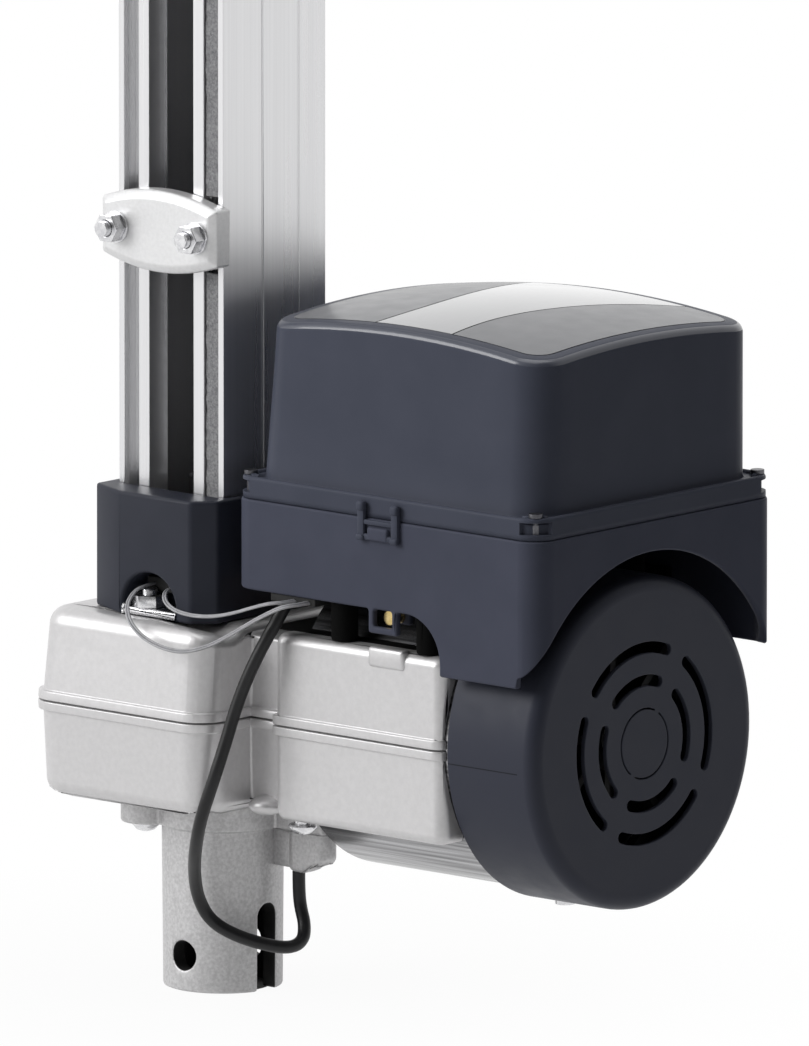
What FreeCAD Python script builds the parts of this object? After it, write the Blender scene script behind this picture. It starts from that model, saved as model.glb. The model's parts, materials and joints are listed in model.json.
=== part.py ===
"""Up-and-over gate opener: a parametric document in millimetres.

The origin is the cross hole of the foot tube. +Z runs up the spindle and the rail, +X points along the motor
towards its fan, and -Y is the open front of the rail.
"""
import FreeCAD, Part
import math
import os
import re

import Sketcher
from FreeCAD import Placement, Rotation, Vector

DRIVING_SIZES = [
    # Foot tube
    ("foot_radius", 22.8),
    ("foot_draft", 0.5),
    ("foot_bore_radius", 16.0),
    ("foot_hole_radius", 5.5),
    ("foot_below_hole", 13.6),
    ("foot_above_hole", 47.8),
    ("foot_bore_depth", 54.0),
    ("foot_slot_width", 9.5),
    ("foot_slot_height", 33.0),
    ("foot_flange_radius", 25.0),
    ("foot_flange_thickness", 12.2),
    ("foot_lug_radius", 10.0),
    ("foot_lug_right", 22.0),
    ("foot_lug_back", 17.5),
    ("foot_screw_bite", 12.0),
    # Limit sensor under the foot flange
    ("sensor_length", 19.5),
    ("sensor_width", 10.0),
    ("sensor_height", 15.8),
    ("sensor_x", 28.5),
    ("sensor_y", 2.4),
    ("sensor_screw_inset", 6.0),
    ("sensor_counterbore", 8.5),
    ("sensor_corner", 4.5),
    ("sensor_edge", 2.5),
    # Gear case
    ("case_height", 70.6),
    ("lobe_left", 48.5),
    ("lobe_right", 38.0),
    ("lobe_front", 53.5),
    ("lobe_back", 56.0),
    ("lobe_corner", 12.0),
    ("lobe_edge", 6.0),
    ("neck_front", 27.0),
    ("block_left", 55.0),
    ("block_length", 84.0),
    ("block_wall", 2.5),
    ("block_corner", 5.0),
    ("block_edge", 4.0),
    ("seam_rib_height", 7.5),
    ("seam_rib_out", 1.3),
    ("seam_lift", 0.7),
    ("gasket_thickness", 0.6),
    ("chamber_wall", 11.0),
    ("chamber_height", 34.0),
    ("chamber_corner", 8.0),
    ("case_screw_inset", 9.0),
    ("case_screw_cover", 10.0),
    # Motor
    ("motor_axis_y", 28.0),
    ("barrel_radius", 59.5),
    ("barrel_wall", 4.0),
    ("barrel_length", 86.0),
    ("end_wall", 7.0),
    ("stator_bore_radius", 32.5),
    ("stator_length", 48.0),
    ("stator_offset", 18.0),
    ("air_gap", 0.5),
    ("winding_radius", 50.0),
    ("winding_inner_radius", 35.0),
    ("winding_length", 8.5),
    ("shield_thickness", 11.0),
    ("shaft_radius", 8.5),
    ("shaft_fan_radius", 6.0),
    ("fan_radius", 50.0),
    ("fan_hub_radius", 12.0),
    ("fan_length", 17.0),
    ("fan_gap", 3.0),
    ("fan_plate", 2.0),
    ("fan_blade_thickness", 3.0),
    # Fan cover
    ("fan_cover_radius", 62.5),
    ("fan_cover_wall", 2.0),
    ("fan_cover_length", 42.0),
    ("fan_cover_overlap", 6.0),
    ("fan_cover_edge", 4.5),
    ("vent_outer_radius", 38.0),
    ("vent_inner_radius", 27.0),
    ("vent_width", 5.0),
    ("vent_sweep", 68.0),
    ("vent_start", 28.0),
    # Worm gear
    ("gear_module", 2.0),
    ("worm_length", 44.0),
    ("wheel_width", 14.0),
    ("tooth_backlash", 0.6),
    # Rolling bearings and seal: bore, outside radius and width of the usual sizes
    ("drive_bearing_radius", 20.0),
    ("drive_bearing_width", 12.0),
    ("worm_bearing_bore", 6.0),
    ("worm_bearing_radius", 16.0),
    ("worm_bearing_width", 10.0),
    ("fan_bearing_bore", 7.5),
    ("fan_bearing_radius", 17.5),
    ("lower_bearing_bore", 10.0),
    ("lower_bearing_radius", 21.0),
    ("lower_bearing_width", 12.0),
    ("upper_bearing_bore", 12.5),
    ("upper_bearing_radius", 23.5),
    ("upper_bearing_width", 12.0),
    ("seal_radius", 18.0),
    ("top_bearing_bore", 6.0),
    ("top_bearing_radius", 14.0),
    ("top_bearing_width", 8.0),
    # Output hub and spindle
    ("wheel_seat_radius", 13.0),
    ("wheel_shoulder_radius", 16.0),
    ("hub_above_case", 48.4),
    ("journal_radius", 7.0),
    ("journal_length", 28.0),
    ("coupling_pin_radius", 3.0),
    ("coupling_pin_drop", 11.0),
    ("spindle_radius", 9.0),
    # Rail
    ("rail_width", 52.0),
    ("rail_depth", 57.0),
    ("rail_length", 1000.0),
    ("rail_wall", 2.7),
    ("rail_back_wall", 3.0),
    ("rail_groove_width", 7.1),
    ("rail_groove_flare", 1.75),
    ("rail_groove_room", 5.5),
    ("rail_groove_lip", 3.0),
    ("rail_groove_floor", 2.0),
    ("rail_rib_width", 5.2),
    ("rail_step_depth", 0.5),
    ("rail_step_low", -7.0),
    ("rail_step_high", 14.0),
    # Collar
    ("collar_height", 46.4),
    ("collar_half_width", 29.5),
    ("collar_left_out", 2.0),
    ("collar_front", 43.0),
    ("collar_back", 31.5),
    ("collar_facet", 7.5),
    ("collar_left_facet", 16.5),
    ("collar_arch_radius", 13.4),
    ("collar_arch_x", 1.5),
    ("collar_arch_depth", 12.0),
    ("collar_arch_rise", 3.6),
    ("collar_foot_thickness", 3.4),
    ("collar_tab_length", 14.5),
    ("collar_tab_half_width", 9.0),
    ("collar_bolt_x", -3.0),
    ("collar_bolt_y", -37.0),
    ("collar_back_bolt_y", 38.5),
    ("collar_bolt_bite", 13.0),
    ("grommet_length", 17.0),
    ("grommet_depth", 3.0),
    ("grommet_height", 5.2),
    ("grommet_above_case", 8.7),
    # Felt strip in the right groove
    ("felt_width", 6.3),
    ("felt_recess", 0.7),
    ("felt_gap_half", 14.5),
    ("felt_in_collar", 12.0),
    # Rail top
    ("top_block_height", 16.0),
    ("top_block_drop", 6.5),
    ("cap_thickness", 5.0),
    ("cap_screw_x", 15.0),
    ("cap_screw_y", 14.0),
    # Carriage
    ("carriage_height", 620.0),
    ("carriage_length", 90.0),
    ("carriage_half_width", 19.0),
    ("carriage_front", 17.5),
    ("carriage_back", 21.0),
    ("neck_half_width", 9.5),
    ("neck_reach", 32.0),
    ("neck_length", 80.0),
    ("bracket_half_width", 24.0),
    ("bracket_thickness", 8.0),
    ("lug_reach", 18.0),
    ("lug_radius", 15.0),
    ("lug_half_width", 9.0),
    ("arm_pin_radius", 6.0),
    ("nut_radius", 14.0),
    ("nut_flange_radius", 17.0),
    ("nut_flange_thickness", 6.0),
    ("nut_length", 60.0),
    ("shoe_height", 22.0),
    ("shoe_front", -13.0),
    ("shoe_back", 18.0),
    ("carriage_bolt_x", 5.5),
    ("carriage_bolt_z", 34.0),
    ("carriage_bolt_bite", 12.0),
    # Stop plate
    ("stop_height", 275.0),
    ("stop_half_width", 28.6),
    ("stop_tall", 31.0),
    ("stop_end_tall", 21.0),
    ("stop_thickness", 8.0),
    ("stop_cheek_depth", 1.2),
    ("stop_bolt_length", 20.5),
    # Control box base
    ("base_left", 37.0),
    ("base_length", 151.0),
    ("base_front", 37.0),
    ("base_back", 98.5),
    ("base_wall", 3.0),
    ("base_corner", 10.0),
    ("base_inner_corner", 7.5),
    ("base_above_case", 15.4),
    ("base_tall", 34.0),
    ("skirt_drop", 21.5),
    ("skirt_length", 48.0),
    ("skirt_curve", 17.0),
    ("arch_clearance", 10.0),
    ("base_floor_back", 26.0),
    ("base_floor_end", 128.0),
    ("post_radius", 5.0),
    ("post_offset", 56.4),
    ("post_first_x", 86.0),
    ("post_spacing", 42.0),
    ("base_screw_bite", 9.0),
    ("corner_boss_radius", 3.3),
    ("corner_boss_height", 14.0),
    ("corner_screw_inset", 5.5),
    ("corner_screw_radius", 1.6),
    ("corner_screw_head_radius", 2.6),
    ("corner_screw_head", 1.6),
    ("corner_screw_bite", 12.0),
    ("tie_loop_x", 105.0),
    ("tie_loop_width", 14.0),
    ("tie_loop_drop", 9.0),
    ("tie_loop_bar", 2.5),
    ("earth_stud_radius", 2.8),
    ("earth_stud_length", 7.0),
    ("gland_x", 56.0),
    ("gland_length", 22.0),
    ("gland_depth", 10.0),
    ("gland_height", 3.0),
    # Control box cover
    ("cover_flange_height", 8.2),
    ("cover_flange_inset", 0.5),
    ("cover_inset", 5.0),
    ("cover_draft", 2.8),
    ("cover_wall", 2.5),
    ("cover_tall", 73.7),
    ("cover_corner", 14.0),
    ("cover_crown_radius", 440.0),
    ("latch_x", 101.0),
    ("latch_width", 20.0),
    ("latch_bar", 3.5),
    ("latch_drop", 10.0),
    ("latch_thickness", 2.0),
    ("catch_width", 10.0),
    ("catch_height", 5.0),
    ("catch_out", 2.0),
    ("catch_drop", 3.0),
    # Electrics inside the control box
    ("board_x", 62.0),
    ("board_length", 106.0),
    ("board_y", -22.0),
    ("board_width", 100.0),
    ("board_thickness", 1.6),
    ("standoff_height", 7.0),
    ("standoff_radius", 3.5),
    ("standoff_inset", 6.0),
    ("capacitor_radius", 17.0),
    ("capacitor_length", 70.0),
    ("capacitor_inset", 4.0),
    ("capacitor_from_front", 22.0),
    ("transformer_length", 48.0),
    ("transformer_width", 46.0),
    ("transformer_height", 38.0),
    ("transformer_inset", 6.0),
    ("transformer_from_front", 18.0),
    ("relay_length", 13.0),
    ("relay_width", 22.0),
    ("relay_height", 16.0),
    ("relay_pitch", 16.0),
    ("relay_inset", 8.0),
    ("relay_from_front", 70.0),
    ("terminal_length", 92.0),
    ("terminal_width", 11.0),
    ("terminal_height", 11.0),
    ("terminal_inset", 7.0),
    ("terminal_from_front", 1.0),
    ("seal_section", 2.0),
    ("seal_inner_corner", 7.5),
    # Fasteners
    ("bolt_radius", 3.0),
    ("bolt_hex", 10.0),
    ("bolt_head", 4.0),
    ("nut_thickness", 5.0),
    ("washer_radius", 6.0),
    ("washer_thickness", 1.2),
    ("screw_radius", 2.0),
    ("screw_head_radius", 3.8),
    ("screw_head", 2.6),
    # Clearances
    ("running_gap", 0.05),
    ("seat_gap", 0.1),
    ("slide_gap", 0.3),
    # Cords
    ("cable_radius", 2.45),
    ("wire_radius", 0.9),
]

DERIVED_SIZES = [
    ("case_bottom", "foot_above_hole + foot_flange_thickness"),
    ("case_top", "case_bottom + case_height"),
    ("motor_axis_z", "case_bottom + case_height / 2 + seam_lift"),
    ("block_right", "block_left + block_length"),
    ("bore_radius", "barrel_radius + seat_gap"),
    ("block_half", "bore_radius + block_wall"),
    ("barrel_left", "block_left + end_wall"),
    ("barrel_right", "barrel_left + barrel_length"),
    ("stator_left", "barrel_left + stator_offset"),
    ("stator_right", "stator_left + stator_length"),
    ("shield_left", "barrel_right - shield_thickness"),
    ("fan_cover_left", "barrel_right - fan_cover_overlap"),
    ("fan_cover_right", "fan_cover_left + fan_cover_length"),
    ("fan_left", "barrel_right + fan_gap"),
    ("chamber_floor", "motor_axis_z - chamber_height / 2"),
    ("chamber_ceiling", "motor_axis_z + chamber_height / 2"),
    ("drive_bearing_left", "barrel_left - drive_bearing_width"),
    ("worm_bearing_left", "chamber_wall - lobe_left - worm_bearing_width"),
    ("hub_top", "case_top + hub_above_case"),
    ("rail_top", "case_top + rail_length"),
    ("slot_half", "rail_width / 2 - rail_wall - rail_groove_width - rail_rib_width"),
    ("groove_x", "slot_half + rail_rib_width + rail_groove_width / 2"),
    ("rail_front_depth", "rail_groove_lip + rail_groove_room + rail_groove_floor"),
    ("chamber_front_y", "rail_front_depth - rail_depth / 2"),
    ("top_block_bottom", "rail_top - top_block_drop - top_block_height"),
    ("collar_top", "case_top + collar_height"),
    ("base_bottom", "case_top + base_above_case"),
    ("base_top", "base_bottom + base_tall"),
    ("base_right", "base_left + base_length"),
    ("skirt_bottom", "base_bottom - skirt_drop"),
    ("cover_bottom", "base_top + slide_gap"),
    ("cover_inner_corner", "cover_corner - cover_wall"),
    ("board_z", "base_top + standoff_height"),
    ("board_top", "board_z + board_thickness"),
]

# Hand-chosen route of each cord, from its upper end to where it goes back into the object
MOTOR_CABLE_ROUTE = [
    (62, -33.5, 143), (60.6, -37, 136.6), (57.8, -41, 128.6), (53.6, -44.6, 117.5), (49.2, -47.2, 104.5),
    (46.5, -50.5, 90), (43.8, -54.5, 75.5), (38.5, -55.5, 61), (30.5, -49.5, 48), (21, -39.5, 36.5),
    (16, -32, 25.5), (18.5, -28, 16.5), (26, -22.5, 11), (33.5, -13.5, 7), (37.8, -4.5, 5),
    (38, 2.5, 7), (35.5, 6, 12.5), (32.8, 6.6, 18.5), (32.2, 6.4, 25), (32.2, 6.4, 32),
]
SENSOR_WIRE_LEFT_ROUTE = [
    (-3.5, -34, 142), (-3.5, -40, 142), (-3.2, -46, 140.5), (-1.5, -52, 136.5), (4, -56.5, 131.5),
    (11.5, -58, 127), (21, -58, 124), (31, -57, 123.2), (40.5, -54, 126), (48.5, -50.2, 131),
    (56, -47.8, 136), (63.5, -47, 140.2), (71, -46.4, 143.8), (75, -41.4, 144.4), (75, -36, 144.4),
]
SENSOR_WIRE_RIGHT_ROUTE = [
    (7.5, -34, 142), (7.5, -40, 142), (11, -45.2, 139), (18, -47.8, 136.4), (27, -47.6, 135.3),
    (37, -46.8, 136), (46.5, -46, 138.4), (55, -45.6, 141.4), (64, -46, 144.2), (68, -41.4, 144.4),
    (68, -36, 144.4),
]

WORM_STARTS = 2
WHEEL_TEETH = 20

TURN_TO_AXIS = {
    "X": Rotation(Vector(0, 1, 0), 90),
    "Y": Rotation(Vector(1, 0, 0), -90),
    "Z": Rotation(),
}

doc = FreeCAD.newDocument("gate_opener")
sheet = doc.addObject("Spreadsheet::Sheet", "sizes")
nodes = []


def fill_sheet():
    """Driving sizes as plain numbers, then the sizes that follow from them."""
    row = 0
    for name, number in DRIVING_SIZES:
        row += 1
        sheet.set("A%d" % row, name)
        sheet.set("B%d" % row, str(number))
        sheet.setAlias("B%d" % row, name)
    for name, formula in DERIVED_SIZES:
        row += 1
        sheet.set("A%d" % row, name)
        sheet.set("B%d" % row, "=" + formula)
        sheet.setAlias("B%d" % row, name)
    doc.recompute()


SIZE_NAMES = {name for name, _ in DRIVING_SIZES + DERIVED_SIZES}


def bound(formula):
    """The formula with each size's name pointing at its cell."""
    def cell(match):
        word = match.group()
        return "sizes." + word if word in SIZE_NAMES else word
    return re.sub(r"[a-z_]+", cell, str(formula))


def size(name):
    return float(sheet.get(name))


def place(obj, at, axis="Z", spin=0.0):
    obj.Placement = Placement(Vector(), TURN_TO_AXIS[axis] * Rotation(Vector(0, 0, 1), spin))
    for letter, formula in zip("xyz", at):
        obj.setExpression("Placement.Base." + letter, bound(formula))


def box(name, low, high):
    """A box from its low corner to its high corner."""
    obj = doc.addObject("Part::Box", name)
    for side, start, end in zip(("Length", "Width", "Height"), low, high):
        obj.setExpression(side, bound("(%s) - (%s)" % (end, start)))
    place(obj, low)
    return obj


def rod(name, radius, start, end, centre, axis="Z", sweep=None, spin=0.0):
    """A cylinder along an axis from start to end; centre holds its other two coordinates in X, Y, Z order."""
    obj = doc.addObject("Part::Cylinder", name)
    obj.setExpression("Radius", bound(radius))
    obj.setExpression("Height", bound("(%s) - (%s)" % (end, start)))
    if sweep is not None:
        obj.setExpression("Angle", bound(sweep))
    at = list(centre)
    at.insert("XYZ".index(axis), start)
    place(obj, at, axis, spin)
    return obj


def taper(name, low_radius, high_radius, start, end, centre, axis="Z"):
    obj = doc.addObject("Part::Cone", name)
    obj.setExpression("Radius1", bound(low_radius))
    obj.setExpression("Radius2", bound(high_radius))
    obj.setExpression("Height", bound("(%s) - (%s)" % (end, start)))
    at = list(centre)
    at.insert("XYZ".index(axis), start)
    place(obj, at, axis)
    return obj


def hexagon(name, across_flats, start, end, centre, axis="Z", spin=0.0):
    obj = doc.addObject("Part::Prism", name)
    obj.Polygon = 6
    obj.setExpression("Circumradius", bound("(%s) / sqrt(3)" % across_flats))
    obj.setExpression("Height", bound("(%s) - (%s)" % (end, start)))
    at = list(centre)
    at.insert("XYZ".index(axis), start)
    place(obj, at, axis, spin)
    return obj


def ball(name, radius, at):
    obj = doc.addObject("Part::Sphere", name)
    obj.setExpression("Radius", bound(radius))
    place(obj, at)
    return obj


def join(name, parts):
    obj = doc.addObject("Part::MultiFuse", name)
    obj.Shapes = parts
    return obj


def cut(name, base, tools):
    obj = doc.addObject("Part::Cut", name)
    obj.Base = base
    obj.Tool = tools[0] if len(tools) == 1 else join(name + "_tools", tools)
    return obj


def overlap(name, first, second):
    obj = doc.addObject("Part::Common", name)
    obj.Base = first
    obj.Tool = second
    return obj


def group(name, members):
    obj = doc.addObject("Part::Compound", name)
    obj.Links = members
    return obj


def ring(name, outer, inner, start, end, centre, axis="Z"):
    return cut(name, rod(name + "_outer", outer, start, end, centre, axis),
               [rod(name + "_inner", inner, start, end, centre, axis)])


def is_upright(edge):
    first, last = edge.Vertexes[0].Point, edge.Vertexes[-1].Point
    return abs(first.x - last.x) < 1e-6 and abs(first.y - last.y) < 1e-6 and abs(first.z - last.z) > 1e-6


def lies_at(edge, height):
    return all(abs(vertex.Point.z - height) < 1e-6 for vertex in edge.Vertexes)


def rounded_box(name, low, high, corner, top_edge=None, bottom_edge=None):
    """A box with rounded upright edges and, where given, rounded top or bottom edges."""
    blank = box(name + "_blank", low, high)
    doc.recompute()
    bounds = blank.Shape.BoundBox
    picked = []
    for index, edge in enumerate(blank.Shape.Edges, start=1):
        if is_upright(edge):
            picked.append((index, size(corner), size(corner)))
        elif top_edge and lies_at(edge, bounds.ZMax):
            picked.append((index, size(top_edge), size(top_edge)))
        elif bottom_edge and lies_at(edge, bounds.ZMin):
            picked.append((index, size(bottom_edge), size(bottom_edge)))
    obj = doc.addObject("Part::Fillet", name)
    obj.Base = blank
    obj.Edges = picked
    return obj


def origin_plane(body, role):
    return next(feature for feature in body.Origin.OriginFeatures if feature.Role == role)


def padded(name, role, corners, length, offset="0"):
    """A body padded from a sketch whose corners are bound to the sheet."""
    body = doc.addObject("PartDesign::Body", name)
    sketch = body.newObject("Sketcher::SketchObject", name + "_outline")
    sketch.AttachmentSupport = [(origin_plane(body, role), "")]
    sketch.MapMode = "FlatFace"
    sketch.setExpression("AttachmentOffset.Base.z", bound(offset))
    count = len(corners)
    circle = [Vector(50 * math.cos(2 * math.pi * i / count), 50 * math.sin(2 * math.pi * i / count), 0)
              for i in range(count)]
    for index in range(count):
        sketch.addGeometry(Part.LineSegment(circle[index], circle[(index + 1) % count]), False)
    for index in range(count):
        sketch.addConstraint(Sketcher.Constraint("Coincident", index, 2, (index + 1) % count, 1))
    for index, corner in enumerate(corners):
        starts = (("DistanceX", circle[index].x), ("DistanceY", circle[index].y))
        for (kind, start), formula in zip(starts, corner):
            number = sketch.addConstraint(Sketcher.Constraint(kind, -1, 1, index, 1, start))
            sketch.setExpression("Constraints[%d]" % number, bound(formula))
    pad = body.newObject("PartDesign::Pad", name + "_pad")
    pad.Profile = sketch
    pad.setExpression("Length", bound(length))
    doc.recompute()
    return body


def node(obj, label):
    obj.Label = label
    nodes.append(obj)
    return obj


def shape_node(label, shape):
    obj = doc.addObject("Part::Feature", label)
    obj.Shape = shape
    obj.Placement = shape.Placement
    return node(obj, label)


def hex_bolt(name, radius, across_flats, head, seat, tip, centre):
    """An upright bolt with a hexagon head above its seat."""
    return join(name, [hexagon(name + "_head", across_flats, seat, "%s + %s" % (seat, head), centre),
                       rod(name + "_shank", radius, tip, seat, centre)])


def pan_screw(name, radius, head_radius, head, seat, tip, centre):
    """An upright screw with a round head above its seat."""
    return join(name, [rod(name + "_head", head_radius, seat, "%s + %s" % (seat, head), centre),
                       rod(name + "_shank", radius, tip, seat, centre)])


def foot_lug_spots():
    """Places of the foot's two screw lugs, one opposite the other."""
    return [(side + "foot_lug_right", side + "foot_lug_back") for side in ("", "-")]


def make_foot():
    """Foot tube with cross hole, side slots, screw lugs and the ear that carries the limit sensor."""
    ear_low = ("foot_bore_radius", "sensor_y - 1", "foot_above_hole")
    ear_high = ("sensor_x + sensor_length", "sensor_y + sensor_width + 1", "case_bottom")
    screw_spots = foot_lug_spots()
    slot_round_z = "foot_slot_height - foot_below_hole - foot_slot_width / 2"
    solids = [
        taper("foot_wall", "foot_radius - foot_draft", "foot_radius", "-foot_below_hole", "foot_above_hole",
              ("0", "0")),
        rod("foot_flange", "foot_flange_radius", "foot_above_hole", "case_bottom", ("0", "0")),
        box("foot_ear", ear_low, ear_high),
    ]
    holes = [
        rod("foot_bore", "foot_bore_radius", "-foot_below_hole", "foot_bore_depth - foot_below_hole", ("0", "0")),
        rod("foot_cross_hole", "foot_hole_radius", "-foot_radius - 1", "foot_radius + 1", ("0", "0"), "Y"),
        box("foot_slot", ("-foot_radius - 1", "-foot_slot_width / 2", "-foot_below_hole"),
            ("foot_radius + 1", "foot_slot_width / 2", slot_round_z)),
        rod("foot_slot_end", "foot_slot_width / 2", "-foot_radius - 1", "foot_radius + 1", ("0", slot_round_z),
            "X"),
        rod("sensor_screw_hole", "screw_radius + seat_gap", "foot_above_hole", "case_bottom",
            ("sensor_x + sensor_length - sensor_screw_inset", "sensor_y + sensor_width / 2")),
    ]
    for index, spot in enumerate(screw_spots):
        solids.append(rod("foot_lug_%d" % index, "foot_lug_radius", "foot_above_hole", "case_bottom", spot))
        holes.append(rod("foot_lug_hole_%d" % index, "bolt_radius + seat_gap", "foot_above_hole", "case_bottom",
                         spot))
    node(cut("foot", join("foot_solid", solids), holes), "foot_tube")

    screws = []
    for index, spot in enumerate(screw_spots):
        head = hexagon("foot_screw_head_%d" % index, "bolt_hex", "foot_above_hole - bolt_head",
                       "foot_above_hole", spot)
        shank = rod("foot_screw_shank_%d" % index, "bolt_radius", "foot_above_hole",
                    "case_bottom + foot_screw_bite", spot)
        screws.append(join("foot_screw_%d" % index, [head, shank]))
    node(group("foot_screw_set", screws), "foot_screws")


def make_sensor():
    """Limit sensor block under the ear of the foot flange, with the screw that holds it."""
    low_z = "foot_above_hole - sensor_height"
    spot = ("sensor_x + sensor_length - sensor_screw_inset", "sensor_y + sensor_width / 2")
    block = rounded_box("sensor_body", ("sensor_x", "sensor_y", low_z),
                        ("sensor_x + sensor_length", "sensor_y + sensor_width", "foot_above_hole"), "sensor_corner",
                        bottom_edge="sensor_edge")
    seat_z = low_z + " + sensor_counterbore"
    holes = [rod("sensor_body_hole", "screw_radius + seat_gap", seat_z, "foot_above_hole", spot),
             rod("sensor_counterbore_hole", "screw_head_radius + slide_gap", low_z, seat_z, spot)]
    node(cut("sensor", block, holes), "limit_sensor")
    head = rod("sensor_screw_head", "screw_head_radius", seat_z + " - screw_head", seat_z, spot)
    shank = rod("sensor_screw_shank", "screw_radius", seat_z, "case_bottom - 1", spot)
    node(join("sensor_screw_solid", [head, shank]), "sensor_screw")


def case_layer(name, low, high, top_edge=None, bottom_edge=None):
    """The case's outline from low to high: lobe round the wheel, neck, and block round the motor."""
    block_low = ("block_left", "motor_axis_y - block_half", low)
    block_high = ("block_right", "motor_axis_y + block_half", high)
    lobe_edges = {"top_edge": top_edge and "lobe_edge", "bottom_edge": bottom_edge and "lobe_edge"}
    block_edges = {"top_edge": top_edge and "block_edge", "bottom_edge": bottom_edge and "block_edge"}
    neck_edge = "block_edge"
    return [
        rounded_box(name + "_lobe", ("-lobe_left", "-lobe_front", low), ("lobe_right", "lobe_back", high),
                    "lobe_corner", **lobe_edges),
        box(name + "_neck", ("lobe_right - lobe_corner", "-neck_front",
                             "(%s) + %s" % (low, neck_edge) if bottom_edge else low),
            ("block_left + block_corner", "lobe_back - lobe_corner",
             "(%s) - %s" % (high, neck_edge) if top_edge else high)),
        rounded_box(name + "_block", block_low, block_high, "block_corner", **block_edges),
    ]


def seam_rib(name, low, high):
    """The raised rib along the seam."""
    out = "seam_rib_out"
    return [
        rounded_box(name + "_lobe", ("-lobe_left - " + out, "-lobe_front - " + out, low),
                    ("lobe_right + " + out, "lobe_back + " + out, high), "lobe_corner"),
        box(name + "_neck", ("lobe_right - lobe_corner", "-neck_front - " + out, low),
            ("block_left + block_corner", "lobe_back - lobe_corner + " + out, high)),
        rounded_box(name + "_block", ("block_left - " + out, "motor_axis_y - block_half - " + out, low),
                    ("block_right", "motor_axis_y + block_half + " + out, high), "block_corner"),
    ]


def case_hollows(name):
    """Gear chamber, motor bore, shaft hole and the two bearing seats on the worm's axis."""
    axis = ("motor_axis_y", "motor_axis_z")
    return [
        rounded_box(name + "_chamber", ("chamber_wall - lobe_left", "chamber_wall - lobe_front", "chamber_floor"),
                    ("lobe_right - chamber_wall + 1", "lobe_back - chamber_wall", "chamber_ceiling"),
                    "chamber_corner"),
        rod(name + "_bore", "bore_radius", "barrel_left", "block_right + 1", axis, "X"),
        rod(name + "_shaft_hole", "shaft_radius + 1", "lobe_right - chamber_wall", "barrel_left", axis, "X"),
        rod(name + "_drive_seat", "drive_bearing_radius + seat_gap", "drive_bearing_left", "barrel_left", axis,
            "X"),
        rod(name + "_worm_seat", "worm_bearing_radius + seat_gap", "worm_bearing_left",
            "chamber_wall - lobe_left + 1", axis, "X"),
    ]


def case_screw_spots():
    left, right = "case_screw_inset - lobe_left", "lobe_right - case_screw_inset"
    front, back = "case_screw_inset - lobe_front", "lobe_back - case_screw_inset"
    return [(left, front), (right, front), (left, back), (right, back)]


def case_screw_holes(name, low, high, radius="bolt_radius + seat_gap"):
    return [rod("%s_%d" % (name, index), radius, low, high, spot)
            for index, spot in enumerate(case_screw_spots())]


def make_case():
    """Lower and upper gear case with the gasket and screws between them."""
    lower_top = "motor_axis_z - gasket_thickness / 2"
    upper_low = "motor_axis_z + gasket_thickness / 2"
    lower = case_layer("lower", "case_bottom", lower_top, bottom_edge=True)
    lower += seam_rib("lower_rib", "motor_axis_z - seam_rib_height / 2", lower_top)
    holes = case_hollows("lower") + case_screw_holes("lower_screw_hole", "case_bottom", "motor_axis_z")
    holes += case_screw_holes("lower_recess", "case_bottom - 1", "case_bottom + bolt_head",
                              "bolt_hex / sqrt(3) + slide_gap")
    holes.append(rod("lower_bearing_seat", "lower_bearing_radius + seat_gap",
                     "chamber_floor - lower_bearing_width", "chamber_floor", ("0", "0")))
    for index, spot in enumerate(foot_lug_spots()):
        holes.append(rod("foot_screw_seat_%d" % index, "bolt_radius + seat_gap", "case_bottom",
                         "case_bottom + foot_screw_bite + 1", spot))
    node(cut("lower_half", join("lower_solid", lower), holes), "lower_case")

    upper = case_layer("upper", upper_low, "case_top", top_edge=True)
    upper += seam_rib("upper_rib", upper_low, "motor_axis_z + seam_rib_height / 2")
    holes = case_hollows("upper")
    holes += case_screw_holes("upper_screw_hole", upper_low, "case_top - case_screw_cover + 2")
    holes.append(rod("upper_bearing_seat", "upper_bearing_radius + seat_gap", "chamber_ceiling",
                     "chamber_ceiling + upper_bearing_width", ("0", "0")))
    holes.append(rod("oil_seal_seat", "seal_radius + seat_gap", "chamber_ceiling", "case_top", ("0", "0")))
    for index, y in enumerate(("collar_bolt_y", "collar_back_bolt_y")):
        holes.append(rod("collar_bolt_seat_%d" % index, "bolt_radius + seat_gap",
                         "case_top - collar_bolt_bite - 1", "case_top", ("collar_bolt_x", y)))
    for index, spot in enumerate(post_spots()):
        holes.append(rod("base_screw_seat_%d" % index, "screw_radius + seat_gap",
                         "case_top - base_screw_bite - 0.5", "case_top", spot))
    node(cut("upper_half", join("upper_solid", upper), holes), "upper_case")

    gasket = case_layer("gasket", lower_top, upper_low)
    holes = case_hollows("gasket") + case_screw_holes("gasket_hole", lower_top, upper_low)
    node(cut("gasket_sheet", join("gasket_solid", gasket), holes), "case_gasket")

    screws = []
    for index, spot in enumerate(case_screw_spots()):
        screws.append(join("case_screw_%d" % index, [
            hexagon("case_screw_head_%d" % index, "bolt_hex", "case_bottom", "case_bottom + bolt_head", spot),
            rod("case_screw_shank_%d" % index, "bolt_radius", "case_bottom + bolt_head",
                "case_top - case_screw_cover", spot)]))
    node(group("case_screw_set", screws), "case_screws")


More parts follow.
